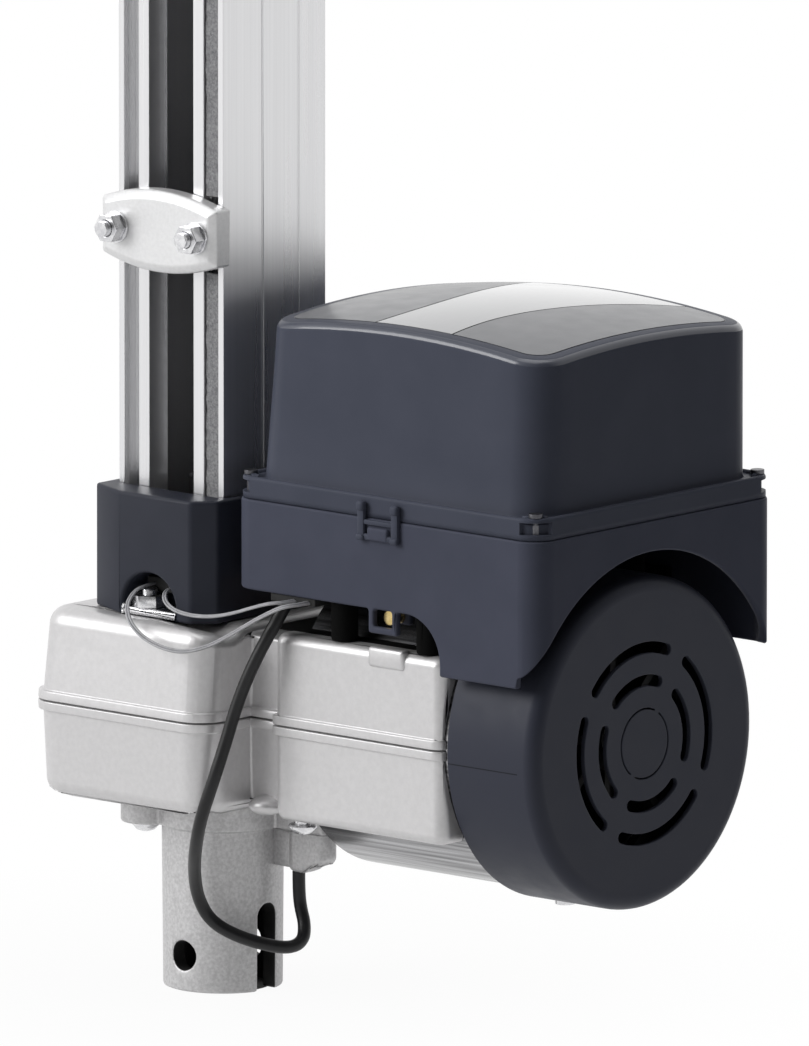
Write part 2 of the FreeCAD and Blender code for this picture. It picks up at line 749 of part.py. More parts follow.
def make_motor():
    """Fixed part of the motor: barrel, stator core and windings, end shield and shaft bearings."""
    axis = ("motor_axis_y", "motor_axis_z")
    inside = "barrel_radius - barrel_wall"
    node(ring("barrel", "barrel_radius", inside, "barrel_left", "barrel_right", axis, "X"), "motor_barrel")
    node(ring("stator", inside + " - seat_gap", "stator_bore_radius", "stator_left", "stator_right", axis, "X"),
         "stator_core")
    coils = [
        ring("coil_drive_end", "winding_radius", "winding_inner_radius", "stator_left - winding_length",
             "stator_left", axis, "X"),
        ring("coil_fan_end", "winding_radius", "winding_inner_radius", "stator_right",
             "stator_right + winding_length", axis, "X"),
    ]
    node(group("coils", coils), "stator_windings")
    shield = rod("shield_disc", inside + " - seat_gap", "shield_left", "barrel_right", axis, "X")
    seat = rod("shield_seat", "fan_bearing_radius + seat_gap", "shield_left + 2", "barrel_right", axis, "X")
    hole = rod("shield_hole", "fan_bearing_bore + 2", "shield_left", "barrel_right", axis, "X")
    node(cut("shield", shield, [seat, hole]), "motor_end_shield")

    node(ring("drive_bearing_ring", "drive_bearing_radius", "shaft_radius + running_gap", "drive_bearing_left",
              "barrel_left", axis, "X"), "drive_bearing")
    node(ring("worm_bearing_ring", "worm_bearing_radius", "worm_bearing_bore + running_gap", "worm_bearing_left",
              "worm_bearing_left + worm_bearing_width", axis, "X"), "worm_end_bearing")
    node(ring("fan_bearing_ring", "fan_bearing_radius", "fan_bearing_bore + running_gap", "shield_left + 2",
              "barrel_right", axis, "X"), "fan_bearing")


def make_fan_cover():
    """Fan cover with its two rings of curved vents, and the screws that hold it on the barrel."""
    axis = ("motor_axis_y", "motor_axis_z")
    face = "fan_cover_right - fan_cover_wall"
    drum = rod("fan_cover_drum", "fan_cover_radius", "fan_cover_left", "fan_cover_right", axis, "X")
    doc.recompute()
    far_x = size("fan_cover_right")
    rim = [index for index, edge in enumerate(drum.Shape.Edges, start=1)
           if all(abs(vertex.Point.x - far_x) < 1e-6 for vertex in edge.Vertexes)]
    shell = doc.addObject("Part::Fillet", "fan_cover_round")
    shell.Base = drum
    shell.Edges = [(index, size("fan_cover_edge"), size("fan_cover_edge")) for index in rim]
    hollows = [
        rod("fan_cover_seat", "barrel_radius + seat_gap", "fan_cover_left", "barrel_right + 2", axis, "X"),
        rod("fan_cover_room", "fan_cover_radius - fan_cover_wall", "barrel_right + 2", face, axis, "X"),
    ]
    for name, radius in (("outer", "vent_outer_radius"), ("inner", "vent_inner_radius")):
        for turn in range(4):
            label = "vent_%s_%d" % (name, turn)
            spin = size("vent_start") + 90 * turn
            wide = rod(label + "_wide", radius, face + " - 1", "fan_cover_right + 1", axis, "X", "vent_sweep", spin)
            core = rod(label + "_core", radius + " - vent_width", face + " - 1", "fan_cover_right + 1", axis, "X")
            hollows.append(cut(label, wide, [core]))
    screw_x = "barrel_right - fan_cover_overlap / 2"
    top_z, low_z = "motor_axis_z + fan_cover_radius", "motor_axis_z - fan_cover_radius"
    bite = "(fan_cover_radius - barrel_radius + barrel_wall)"
    hollows.append(rod("fan_screw_hole_top", "screw_radius + seat_gap", "%s - %s" % (top_z, bite), top_z,
                       (screw_x, "motor_axis_y")))
    hollows.append(rod("fan_screw_hole_low", "screw_radius + seat_gap", low_z, "%s + %s" % (low_z, bite),
                       (screw_x, "motor_axis_y")))
    node(cut("fan_cover_solid", shell, hollows), "fan_cover")

    screw_tip = "(fan_cover_radius - barrel_radius)"
    top = join("fan_screw_top", [
        rod("fan_screw_top_head", "screw_head_radius", top_z, top_z + " + screw_head", (screw_x, "motor_axis_y")),
        rod("fan_screw_top_shank", "screw_radius", "%s - %s" % (top_z, screw_tip) + " + seat_gap", top_z,
            (screw_x, "motor_axis_y"))])
    low = join("fan_screw_low", [
        rod("fan_screw_low_head", "screw_head_radius", low_z + " - screw_head", low_z, (screw_x, "motor_axis_y")),
        rod("fan_screw_low_shank", "screw_radius", low_z, "%s + %s" % (low_z, screw_tip) + " - seat_gap",
            (screw_x, "motor_axis_y"))])
    node(group("fan_screw_set", [top, low]), "fan_cover_screws")


def worm_thread(pitch_radius, axial_pitch, starts, length, half_thickness):
    """The worm's helical threads along +Z, each a swept trapezium."""
    depth_in = 1.2 * size("gear_module")
    root, tip = pitch_radius - depth_in - 0.4, pitch_radius + size("gear_module")
    slope = math.tan(math.radians(20))
    root_half = half_thickness + slope * (pitch_radius - root)
    tip_half = half_thickness - slope * (tip - pitch_radius)
    lead = axial_pitch * starts
    threads = []
    for start in range(starts):
        helix = Part.makeHelix(lead, length, root)
        corners = [Vector(root, 0, -root_half), Vector(tip, 0, -tip_half), Vector(tip, 0, tip_half),
                   Vector(root, 0, root_half)]
        profile = Part.makePolygon(corners + corners[:1])
        thread = Part.Wire(helix.Edges).makePipeShell([profile], True, True)
        thread.rotate(Vector(), Vector(0, 0, 1), 360.0 * start / starts)
        threads.append(thread)
    return threads


def make_rotor():
    """Turning part of the motor: shaft with its worm, rotor core and cooling fan."""
    module = size("gear_module")
    axis_y, axis_z = size("motor_axis_y"), size("motor_axis_z")
    pitch_radius = axis_y - module * WHEEL_TEETH / 2
    axial_pitch = math.pi * module
    half_thickness = axial_pitch / 4 - size("tooth_backlash") / 2
    length = size("worm_length")
    fan_left = size("fan_left")
    fan_right = fan_left + size("fan_length")
    worm_bearing_right = size("worm_bearing_left") + size("worm_bearing_width")
    root = pitch_radius - 1.2 * module
    steps = [
        (size("worm_bearing_left"), worm_bearing_right + 1, size("worm_bearing_bore")),
        (worm_bearing_right + 1, -length / 2, size("worm_bearing_bore") + 1),
        (-length / 2, length / 2, root),
        (length / 2, size("shield_left"), size("shaft_radius")),
        (size("shield_left"), fan_left, size("fan_bearing_bore")),
        (fan_left, fan_right, size("shaft_fan_radius")),
    ]
    lengths = [Part.makeCylinder(radius, end - start, Vector(0, 0, start)) for start, end, radius in steps]
    around_thread = pitch_radius + module + 0.5
    blank = Part.makeCylinder(around_thread, length, Vector(0, 0, -length / 2))
    lead = axial_pitch * WORM_STARTS
    threads = worm_thread(pitch_radius, axial_pitch, WORM_STARTS, length + 2 * lead, half_thickness)
    for thread in threads:
        thread.translate(Vector(0, 0, -length / 2 - lead))
    worm = lengths[2].multiFuse([thread.common(blank) for thread in threads])
    shaft = worm.multiFuse(lengths[:2] + lengths[3:])
    # The thread's phase puts a wheel tooth in the middle of a thread space at the contact point
    shaft.rotate(Vector(), Vector(0, 0, 1), worm_phase(axial_pitch, lead, length))
    shaft.rotate(Vector(), Vector(0, 1, 0), 90)
    shaft.translate(Vector(0, axis_y, axis_z))
    shape_node("worm_shaft", shaft)

    axis = ("motor_axis_y", "motor_axis_z")
    node(ring("rotor", "stator_bore_radius - air_gap", "shaft_radius", "stator_left", "stator_right", axis, "X"),
         "rotor_core")
    solids = [
        rod("fan_hub", "fan_hub_radius", "fan_left", "fan_left + fan_length", axis, "X"),
        rod("fan_disc", "fan_radius", "fan_left", "fan_left + fan_plate", axis, "X"),
    ]
    blade_count = 8
    for index in range(blade_count):
        blade = doc.addObject("Part::Box", "fan_blade_%d" % index)
        blade.setExpression("Length", bound("fan_length - 1"))
        blade.setExpression("Width", bound("fan_blade_thickness"))
        blade.setExpression("Height", bound("fan_radius - 2"))
        turn = Rotation(Vector(1, 0, 0), 360.0 * index / blade_count)
        blade.Placement = Placement(Vector(fan_left, axis_y, axis_z), turn)
        solids.append(blade)
    bore = rod("fan_bore", "shaft_fan_radius", "fan_left", "fan_left + fan_length", axis, "X")
    node(cut("fan", join("fan_solid", solids), [bore]), "cooling_fan")


def worm_phase(axial_pitch, lead, length):
    """Turn of the worm, in degrees, that puts a thread half a pitch from the wheel's axis at the contact side."""
    contact_turn = 270.0
    axial_at_contact = -length / 2 - lead + lead * contact_turn / 360.0
    shift = (axial_at_contact - axial_pitch / 2) % axial_pitch
    return 360.0 * shift / lead


def make_wheel():
    """Worm wheel with slanted teeth that follow the worm's lead."""
    module = size("gear_module")
    pitch_radius = module * WHEEL_TEETH / 2
    worm_pitch_radius = size("motor_axis_y") - pitch_radius
    width = size("wheel_width")
    half_thickness = math.pi * module / 4 - size("tooth_backlash") / 2
    slope = math.tan(math.radians(20))
    root, tip = pitch_radius - 1.2 * module, pitch_radius + module
    root_angle = (half_thickness + slope * (pitch_radius - root)) / root
    tip_angle = (half_thickness - slope * (tip - pitch_radius)) / tip
    lead_slope = module * WORM_STARTS / (2 * worm_pitch_radius)
    twist = width * lead_slope / pitch_radius
    sections = []
    for height, turn in ((-width / 2, -twist / 2), (width / 2, twist / 2)):
        corners = []
        for tooth in range(WHEEL_TEETH):
            middle = math.pi / 2 + 2 * math.pi * tooth / WHEEL_TEETH + turn
            for radius, angle in ((root, -root_angle), (tip, -tip_angle), (tip, tip_angle), (root, root_angle)):
                corners.append(Vector(radius * math.cos(middle + angle), radius * math.sin(middle + angle), height))
        sections.append(Part.makePolygon(corners + corners[:1]))
    faces = [Part.makeRuledSurface(low, high) for low, high in zip(sections[0].Edges, sections[1].Edges)]
    shell = Part.makeShell(faces + [Part.Face(section) for section in sections])
    shell.sewShape()
    wheel = Part.makeSolid(shell)
    bore = Part.makeCylinder(size("wheel_seat_radius"), width, Vector(0, 0, -width / 2))
    wheel = wheel.cut(bore)
    wheel.translate(Vector(0, 0, size("motor_axis_z")))
    shape_node("worm_wheel", wheel)


def make_hub():
    """Output hub, coupling pin, spindle, bearings and oil seal."""
    axis = ("0", "0")
    wheel_low = "motor_axis_z - wheel_width / 2"
    solids = [
        rod("hub_foot", "lower_bearing_bore", "chamber_floor - lower_bearing_width", "chamber_floor + slide_gap",
            axis),
        rod("hub_shoulder", "wheel_shoulder_radius", "chamber_floor + slide_gap", wheel_low, axis),
        rod("hub_seat", "wheel_seat_radius", wheel_low, "chamber_ceiling - slide_gap", axis),
        rod("hub_neck", "upper_bearing_bore", "chamber_ceiling - slide_gap", "hub_top", axis),
    ]
    pin_z = "hub_top - coupling_pin_drop"
    pin_span = ("-upper_bearing_bore - 2", "upper_bearing_bore + 2")
    holes = [
        rod("hub_socket", "journal_radius", "hub_top - journal_length", "hub_top", axis),
        rod("hub_pin_hole", "coupling_pin_radius", pin_span[0], pin_span[1], ("0", pin_z), "Y"),
    ]
    node(cut("hub", join("hub_solid", solids), holes), "output_hub")
    node(rod("pin", "coupling_pin_radius", pin_span[0], pin_span[1], ("0", pin_z), "Y"), "coupling_pin")

    screw = join("spindle_solid", [
        rod("spindle_foot", "journal_radius", "hub_top - journal_length", "hub_top", axis),
        rod("spindle_thread", "spindle_radius", "hub_top", "top_block_bottom - slide_gap", axis),
        rod("spindle_tip", "top_bearing_bore", "top_block_bottom - slide_gap", "rail_top - top_block_drop - 2",
            axis),
    ])
    hole = rod("spindle_pin_hole", "coupling_pin_radius", pin_span[0], pin_span[1], ("0", pin_z), "Y")
    node(cut("spindle_rod", screw, [hole]), "spindle")

    node(ring("lower_bearing_ring", "lower_bearing_radius", "lower_bearing_bore + running_gap",
              "chamber_floor - lower_bearing_width", "chamber_floor", axis), "lower_wheel_bearing")
    node(ring("upper_bearing_ring", "upper_bearing_radius", "upper_bearing_bore + running_gap", "chamber_ceiling",
              "chamber_ceiling + upper_bearing_width", axis), "upper_wheel_bearing")
    node(ring("seal_ring", "seal_radius", "upper_bearing_bore + running_gap",
              "chamber_ceiling + upper_bearing_width", "case_top", axis), "oil_seal")


def rail_corners():
    """Outline of the rail's section: open front slot, a groove each side of it, shallow steps on the flanks."""
    front, back = "-rail_depth / 2", "rail_depth / 2"
    inner, outer = "slot_half + rail_rib_width", "rail_width / 2 - rail_wall"
    lip = front + " + rail_groove_lip"
    floor = lip + " + rail_groove_room"
    edge, step = "rail_width / 2", "rail_width / 2 - rail_step_depth"
    right = [
        ("slot_half", front), (inner, front), (inner, lip), (inner + " - rail_groove_flare", lip),
        (inner + " - rail_groove_flare", floor), (outer + " + rail_groove_flare", floor),
        (outer + " + rail_groove_flare", lip), (outer, lip), (outer, front), (edge, front),
        (edge, "rail_step_low"), (step, "rail_step_low"), (step, "rail_step_high"), (edge, "rail_step_high"),
        (edge, back),
    ]
    hollow = [("slot_half", "chamber_front_y"), (outer, "chamber_front_y"), (outer, back + " - rail_back_wall")]
    left = [("-(%s)" % x, y) for x, y in reversed(right)]
    left_hollow = [("-(%s)" % x, y) for x, y in hollow]
    return right + left + left_hollow + list(reversed(hollow))


def make_rail():
    """Rail, felt strip, upper bearing and cap."""
    node(padded("rail_section", "XY_Plane", rail_corners(), "rail_length", "case_top"), "rail")

    felt_front = "felt_recess - rail_depth / 2"
    felt_back = "rail_groove_lip + rail_groove_room - seat_gap - rail_depth / 2"
    left, right = "groove_x - felt_width / 2", "groove_x + felt_width / 2"
    strips = [
        box("felt_low", (left, felt_front, "collar_top - felt_in_collar"),
            (right, felt_back, "stop_height - felt_gap_half")),
        box("felt_high", (left, felt_front, "stop_height + felt_gap_half"),
            (right, felt_back, "rail_top - top_block_drop")),
    ]
    node(group("felt_set", strips), "felt_strips")

    half_x = "rail_width / 2 - rail_wall - seat_gap"
    block_top = "rail_top - top_block_drop"
    front, back = "chamber_front_y + seat_gap", "rail_depth / 2 - rail_back_wall - seat_gap"
    seat_low = "top_block_bottom + top_block_height / 2 - top_bearing_width / 2"
    screw_spots = [("cap_screw_x", "cap_screw_y"), ("-cap_screw_x", "cap_screw_y")]
    block = box("top_block_blank", ("-(%s)" % half_x, front, "top_block_bottom"), (half_x, back, block_top))
    holes = [
        rod("top_block_hole", "top_bearing_bore + 1", "top_block_bottom", block_top, ("0", "0")),
        rod("top_bearing_seat", "top_bearing_radius + seat_gap", seat_low, block_top, ("0", "0")),
    ]
    for index, spot in enumerate(screw_spots):
        holes.append(rod("cap_screw_seat_%d" % index, "screw_radius + seat_gap", "top_block_bottom + 4", block_top,
                         spot))
    node(cut("top_block", block, holes), "top_bearing_block")
    node(ring("top_bearing_ring", "top_bearing_radius", "top_bearing_bore + running_gap", seat_low,
              seat_low + " + top_bearing_width", ("0", "0")), "top_bearing")

    cap_top = "rail_top + cap_thickness"
    plug = box("cap_plug", ("-(%s)" % half_x, front, block_top), (half_x, back, "rail_top"))
    lid = rounded_box("cap_lid", ("-rail_width / 2", "-rail_depth / 2", "rail_top"),
                      ("rail_width / 2", "rail_depth / 2", cap_top), "screw_radius", top_edge="screw_radius")
    holes = [rod("cap_hole_%d" % index, "screw_radius + seat_gap", block_top, cap_top, spot)
             for index, spot in enumerate(screw_spots)]
    node(cut("cap", join("cap_solid", [lid, plug]), holes), "rail_top_cap")
    screws = [pan_screw("cap_screw_%d" % index, "screw_radius", "screw_head_radius", "screw_head", cap_top,
                        "top_block_bottom + 5", spot) for index, spot in enumerate(screw_spots)]
    node(group("cap_screw_set", screws), "cap_screws")


def make_collar():
    """Collar at the rail's foot with its bolts, and the grommet that the sensor wires come out of."""
    half, front, back, facet = "collar_half_width", "-collar_front", "collar_back", "collar_facet"
    left = "-%s - collar_left_out" % half
    corners = [
        ("%s - %s" % (half, facet), front), (half, "%s + %s" % (front, facet)), (half, back),
        (left, back), (left, "%s + %s" % (front, facet)), ("collar_left_facet - " + half, front),
    ]
    sleeve = padded("collar_sleeve", "XY_Plane", corners, "collar_height", "case_top")
    tab = box("collar_tab", ("collar_bolt_x - collar_tab_half_width", back, "case_top"),
              ("collar_bolt_x + collar_tab_half_width", back + " + collar_tab_length",
               "case_top + collar_foot_thickness"))
    arch_z = "case_top + collar_arch_rise"
    arch_back = front + " + collar_arch_depth"
    holes = [
        box("collar_rail_room", ("-rail_width / 2 - seat_gap", "-rail_depth / 2 - seat_gap", "case_top"),
            ("rail_width / 2 + seat_gap", "rail_depth / 2 + seat_gap", "collar_top")),
        rod("collar_arch", "collar_arch_radius", front, arch_back, ("collar_arch_x", arch_z), "Y"),
    ]
    bolt_spots = [("collar_bolt_x", "collar_bolt_y"), ("collar_bolt_x", "collar_back_bolt_y")]
    hollowed = cut("collar_hollowed", join("collar_solid", [sleeve, tab]), holes)
    foot = box("collar_foot", ("collar_arch_x - collar_arch_radius", front + " + 1", "case_top"),
               ("collar_arch_x + collar_arch_radius", arch_back, "case_top + collar_foot_thickness"))
    bolt_holes = [rod("collar_bolt_hole_%d" % index, "bolt_radius + seat_gap", "case_top",
                      "case_top + collar_foot_thickness", spot) for index, spot in enumerate(bolt_spots)]
    node(cut("collar", join("collar_with_foot", [hollowed, foot]), bolt_holes), "rail_collar")

    seat = "case_top + collar_foot_thickness"
    bolts = [hex_bolt("collar_bolt_%d" % index, "bolt_radius", "bolt_hex", "bolt_head", seat,
                      "case_top - collar_bolt_bite", spot) for index, spot in enumerate(bolt_spots)]
    node(group("collar_bolt_set", bolts), "collar_bolts")

    low_z = "case_top + grommet_above_case"
    node(box("grommet", ("collar_arch_x - grommet_length / 2", arch_back + " - grommet_depth", low_z),
             ("collar_arch_x + grommet_length / 2", arch_back, low_z + " + grommet_height")), "wire_grommet")


def make_carriage():
    """Drive nut and the carriage that it pushes along the rail."""
    low, high = "carriage_height - carriage_length / 2", "carriage_height + carriage_length / 2"
    neck_low, neck_high = "carriage_height - neck_length / 2", "carriage_height + neck_length / 2"
    bracket_front = "-neck_reach - bracket_thickness"
    bolt_spots = [(x, "carriage_height %s carriage_bolt_z" % sign)
                  for x in ("carriage_bolt_x", "-carriage_bolt_x") for sign in "+-"]
    block = box("carriage_blank", ("-carriage_half_width", "-carriage_front", low),
                ("carriage_half_width", "carriage_back", high))
    neck = box("carriage_neck", ("-neck_half_width", "-neck_reach", neck_low),
               ("neck_half_width", "-carriage_front", neck_high))
    holes = [
        rod("nut_seat", "nut_radius + seat_gap", low, low + " + nut_length", ("0", "0")),
        rod("spindle_room", "spindle_radius + 1", low, high, ("0", "0")),
    ]
    holes += [rod("neck_bolt_hole_%d" % index, "bolt_radius + seat_gap", "-neck_reach",
                  "carriage_bolt_bite - neck_reach + 1", spot, "Y") for index, spot in enumerate(bolt_spots)]
    node(cut("carriage", join("carriage_solid", [block, neck]), holes), "carriage_block")

    nut = join("nut_solid", [
        rod("nut_body", "nut_radius", low, low + " + nut_length", ("0", "0")),
        rod("nut_flange", "nut_flange_radius", low + " - nut_flange_thickness", low, ("0", "0"))])
    bore = rod("nut_bore", "spindle_radius + running_gap", low + " - nut_flange_thickness", low + " + nut_length",
               ("0", "0"))
    node(cut("nut", nut, [bore]), "drive_nut")

    shoe_out = "rail_width / 2 - rail_wall - slide_gap"
    shoes = []
    for name, shoe_low in (("low", low), ("high", high + " - shoe_height")):
        for side, span in (("right", ("carriage_half_width", shoe_out)),
                           ("left", ("-(%s)" % shoe_out, "-carriage_half_width"))):
            shoes.append(box("shoe_%s_%s" % (name, side), (span[0], "shoe_front", shoe_low),
                             (span[1], "shoe_back", shoe_low + " + shoe_height")))
    node(group("shoe_set", shoes), "slide_shoes")

    lug_y = bracket_front + " - lug_reach"
    plate = bracket_plate("bracket_plate", bracket_front, "-neck_reach", low, high)
    lug = join("bracket_lug", [
        box("lug_web", ("-lug_half_width", lug_y, "carriage_height - lug_radius"),
            ("lug_half_width", bracket_front, "carriage_height + lug_radius")),
        rod("lug_nose", "lug_radius", "-lug_half_width", "lug_half_width", (lug_y, "carriage_height"), "X")])
    holes = [rod("arm_pin_hole", "arm_pin_radius", "-lug_half_width", "lug_half_width",
                 (lug_y, "carriage_height"), "X")]
    holes += [rod("plate_bolt_hole_%d" % index, "bolt_radius + seat_gap", bracket_front, "-neck_reach", spot, "Y")
              for index, spot in enumerate(bolt_spots)]
    node(cut("bracket", join("bracket_solid", [plate, lug]), holes), "carriage_bracket")

    bolts = []
    for index, spot in enumerate(bolt_spots):
        head = rod("carriage_bolt_head_%d" % index, "bolt_hex / 2", bracket_front + " - bolt_head", bracket_front,
                   spot, "Y")
        shank = rod("carriage_bolt_shank_%d" % index, "bolt_radius", bracket_front,
                    "carriage_bolt_bite - neck_reach", spot, "Y")
        bolts.append(join("carriage_bolt_%d" % index, [head, shank]))
    node(group("carriage_bolt_set", bolts), "carriage_bolts")


def bracket_plate(name, front, back, low, high):
    """The bracket's upright plate, a padded body."""
    half = "bracket_half_width"
    corners = [("-" + half, front), (half, front), (half, back), ("-" + half, back)]
    return padded(name, "XY_Plane", corners, "(%s) - (%s)" % (high, low), low)


def make_stop():
    """Stop plate clamped on the rail's front by two bolts whose heads sit in the grooves."""
    back = "-rail_depth / 2 - slide_gap"
    front = back + " - stop_thickness"
    reach = "stop_half_width"
    rise = "(stop_tall - stop_end_tall) / 2"
    bow = "((%s) * (%s) + stop_half_width * stop_half_width) / (2 * (%s))" % (rise, rise, rise)
    tall = [rod("stop_bow_%s" % name, bow, front, "stop_cheek_depth - rail_depth / 2",
                ("0", "stop_height %s (%s - stop_tall / 2)" % (sign, bow)), "Y")
            for name, sign in (("top", "-"), ("low", "+"))]
    lens = overlap("stop_lens", tall[0], tall[1])
    trim = box("stop_trim", ("-" + reach, front, "stop_height - stop_tall"),
               (reach, "stop_cheek_depth - rail_depth / 2", "stop_height + stop_tall"))
    room = box("stop_rail_room", ("-rail_width / 2 - slide_gap", back, "stop_height - stop_tall"),
               ("rail_width / 2 + slide_gap", "rail_depth", "stop_height + stop_tall"))
    holes = [room]
    bolts, nuts, washers = [], [], []
    head_low = "rail_groove_lip + slide_gap - rail_depth / 2"
    for index, x in enumerate(("groove_x", "-groove_x")):
        spot = (x, "stop_height")
        holes.append(rod("stop_bolt_hole_%d" % index, "bolt_radius + seat_gap", front, back, spot, "Y"))
        head = hexagon("stop_bolt_head_%d" % index, "bolt_hex", head_low, head_low + " + bolt_head", spot, "Y",
                       spin=30.0)
        shank = rod("stop_bolt_shank_%d" % index, "bolt_radius", head_low + " - stop_bolt_length", head_low, spot,
                    "Y")
        bolts.append(join("stop_bolt_%d" % index, [head, shank]))
        washer_front = front + " - washer_thickness"
        washers.append(ring("stop_washer_%d" % index, "washer_radius", "bolt_radius + seat_gap", washer_front,
                            front, spot, "Y"))
        nut_front = washer_front + " - nut_thickness"
        nut_blank = hexagon("stop_nut_blank_%d" % index, "bolt_hex", nut_front, washer_front, spot, "Y")
        nut_hole = rod("stop_nut_hole_%d" % index, "bolt_radius + seat_gap", nut_front, washer_front, spot, "Y")
        nuts.append(cut("stop_nut_%d" % index, nut_blank, [nut_hole]))
    node(cut("stop", overlap("stop_blank", lens, trim), holes), "stop_plate")
    node(group("stop_bolt_set", bolts), "stop_bolts")
    node(group("stop_washer_set", washers), "stop_washers")
    node(group("stop_nut_set", nuts), "stop_nuts")


def post_spots():
    """Where the base's four posts stand on the case."""
    return [(x, "motor_axis_y %s post_offset" % sign)
            for x in ("post_first_x", "post_first_x + post_spacing") for sign in "-+"]


def corner_screw_spots():
    inset = "corner_screw_inset"
    return [(x, y) for x in ("base_left + " + inset, "base_right - " + inset)
            for y in (inset + " - base_front", "base_back - " + inset)]


def standoff_spots():
    inset = "standoff_inset"
    return [(x, y) for x in ("board_x + " + inset, "board_x + board_length - " + inset)
            for y in ("board_y + " + inset, "board_y + board_width - " + inset)]


def make_base():
    """Control box base: a saddle over the motor with a skirt and arch at the fan end."""
    low_z, plate_z = "skirt_bottom", "base_top - base_wall"
    screw_seat = "base_top - screw_head"
    front, back = "-base_front", "base_back"
    step_x = "base_right - skirt_length"
    outer = rounded_box("base_outer", ("base_left", front, low_z), ("base_right", back, "base_top"), "base_corner")
    wide = (front + " - 1", back + " + 1")
    curve_x = step_x + " - skirt_curve"
    away = [
        box("base_open_left", ("base_left - 1", wide[0], low_z + " - 1"), (curve_x, wide[1], "base_bottom")),
        box("base_open_step", (curve_x + " - 1", wide[0], low_z + " - 1"),
            (step_x, wide[1], "base_bottom - skirt_curve")),
        rod("base_open_curve", "skirt_curve", wide[0], wide[1], (curve_x, "base_bottom - skirt_curve"), "Y"),
        rounded_box("base_room", ("base_left + base_wall", front + " + base_wall", low_z + " - 1"),
                    ("base_right - base_wall", back + " - base_wall", plate_z), "base_inner_corner"),
        rod("base_arch", "fan_cover_radius + arch_clearance", "base_right - base_corner", "base_right + 1",
            ("motor_axis_y", "motor_axis_z"), "X"),
    ]
    shell = cut("base_shell", outer, away)
    floor_low = "base_bottom"
    added = [
        shell,
        box("base_floor", ("base_left + base_wall", front + " + base_wall", floor_low),
            ("base_floor_end", "-base_floor_back", floor_low + " + base_wall")),
        box("catch", ("latch_x + latch_width / 2 - catch_width / 2", front + " - catch_out",
                      "base_top - catch_drop - catch_height"),
            ("latch_x + latch_width / 2 + catch_width / 2", front + " + 1", "base_top - catch_drop")),
        cut("tie_loop", box("tie_loop_blank", ("tie_loop_x", front, "base_bottom - tie_loop_drop"),
                            ("tie_loop_x + tie_loop_width", front + " + base_wall", "base_bottom + base_wall")),
            [box("tie_loop_hole", ("tie_loop_x + tie_loop_bar", front + " - 1",
                                   "base_bottom - tie_loop_drop + tie_loop_bar"),
                 ("tie_loop_x + tie_loop_width - tie_loop_bar", front + " + base_wall + 1", "base_bottom"))]),
        box("earth_tab", ("tie_loop_x + tie_loop_bar", "earth_stud_length - base_front + base_wall",
                          "base_bottom - tie_loop_drop + tie_loop_bar"),
            ("tie_loop_x + tie_loop_width - tie_loop_bar", "earth_stud_length - base_front + 2 * base_wall",
             floor_low + " + 1")),
    ]
    holes = []
    for index, spot in enumerate(post_spots()):
        added.append(rod("post_%d" % index, "post_radius", "case_top", plate_z + " + 1", spot))
        holes.append(rod("post_hole_%d" % index, "screw_radius + seat_gap", "case_top", "base_top", spot))
        holes.append(rod("post_recess_%d" % index, "screw_head_radius + seat_gap", screw_seat, "base_top", spot))
    for index, spot in enumerate(corner_screw_spots()):
        added.append(rod("corner_boss_%d" % index, "corner_boss_radius", plate_z + " - corner_boss_height",
                         plate_z + " + 1", spot))
        holes.append(rod("corner_hole_%d" % index, "corner_screw_radius + slide_gap",
                         plate_z + " - corner_boss_height", "base_top", spot))
    for index, spot in enumerate(standoff_spots()):
        added.append(rod("standoff_%d" % index, "standoff_radius", "base_top - 1", "board_z", spot))
    node(cut("base", join("base_solid", added), holes), "box_base")

    screws = [pan_screw("base_screw_%d" % index, "screw_radius", "screw_head_radius", "screw_head", screw_seat,
                        "case_top - base_screw_bite", spot) for index, spot in enumerate(post_spots())]
    node(group("base_screw_set", screws), "base_screws")

    stud_x, stud_z = "tie_loop_x + tie_loop_width / 2", "base_bottom - tie_loop_drop / 2 + tie_loop_bar / 2"
    stud_start = "base_wall - base_front + 1"
    stud = rod("earth_stud", "earth_stud_radius", stud_start, "earth_stud_length - base_front + base_wall",
               (stud_x, stud_z), "Y")
    node(stud, "earth_terminal")
    node(box("gland", ("gland_x", "-base_front + 1", "base_bottom - gland_height"),
             ("gland_x + gland_length", "-base_front + 1 + gland_depth", "base_bottom")), "cable_gland")


def cover_block(name, inset, low, wall):
    """A block with rounded upright edges, from low to above the crown; its left and front walls are drafted."""
    wires = []
    draft_run = size("cover_draft")
    bottom_z, top_z = low, size("cover_bottom") + size("cover_tall") + 1
    for height, shrink in ((bottom_z, 0.0), (top_z, draft_run)):
        x_low, x_high = size("base_left") + inset + shrink, size("base_right") - inset
        y_low, y_high = -size("base_front") + inset + shrink, size("base_back") - inset
        radius = size("cover_corner") - wall
        blank = Part.makeBox(x_high - x_low, y_high - y_low, 1.0, Vector(x_low, y_low, height))
        rounded = blank.makeFillet(radius, [edge for edge in blank.Edges if is_upright(edge)])
        face = min(rounded.Faces, key=lambda item: item.CenterOfMass.z)
        wires.append(face.OuterWire)
    obj = doc.addObject("Part::Feature", name)
    obj.Shape = Part.makeLoft(wires, True, True)
    obj.Placement = Placement()
    return obj


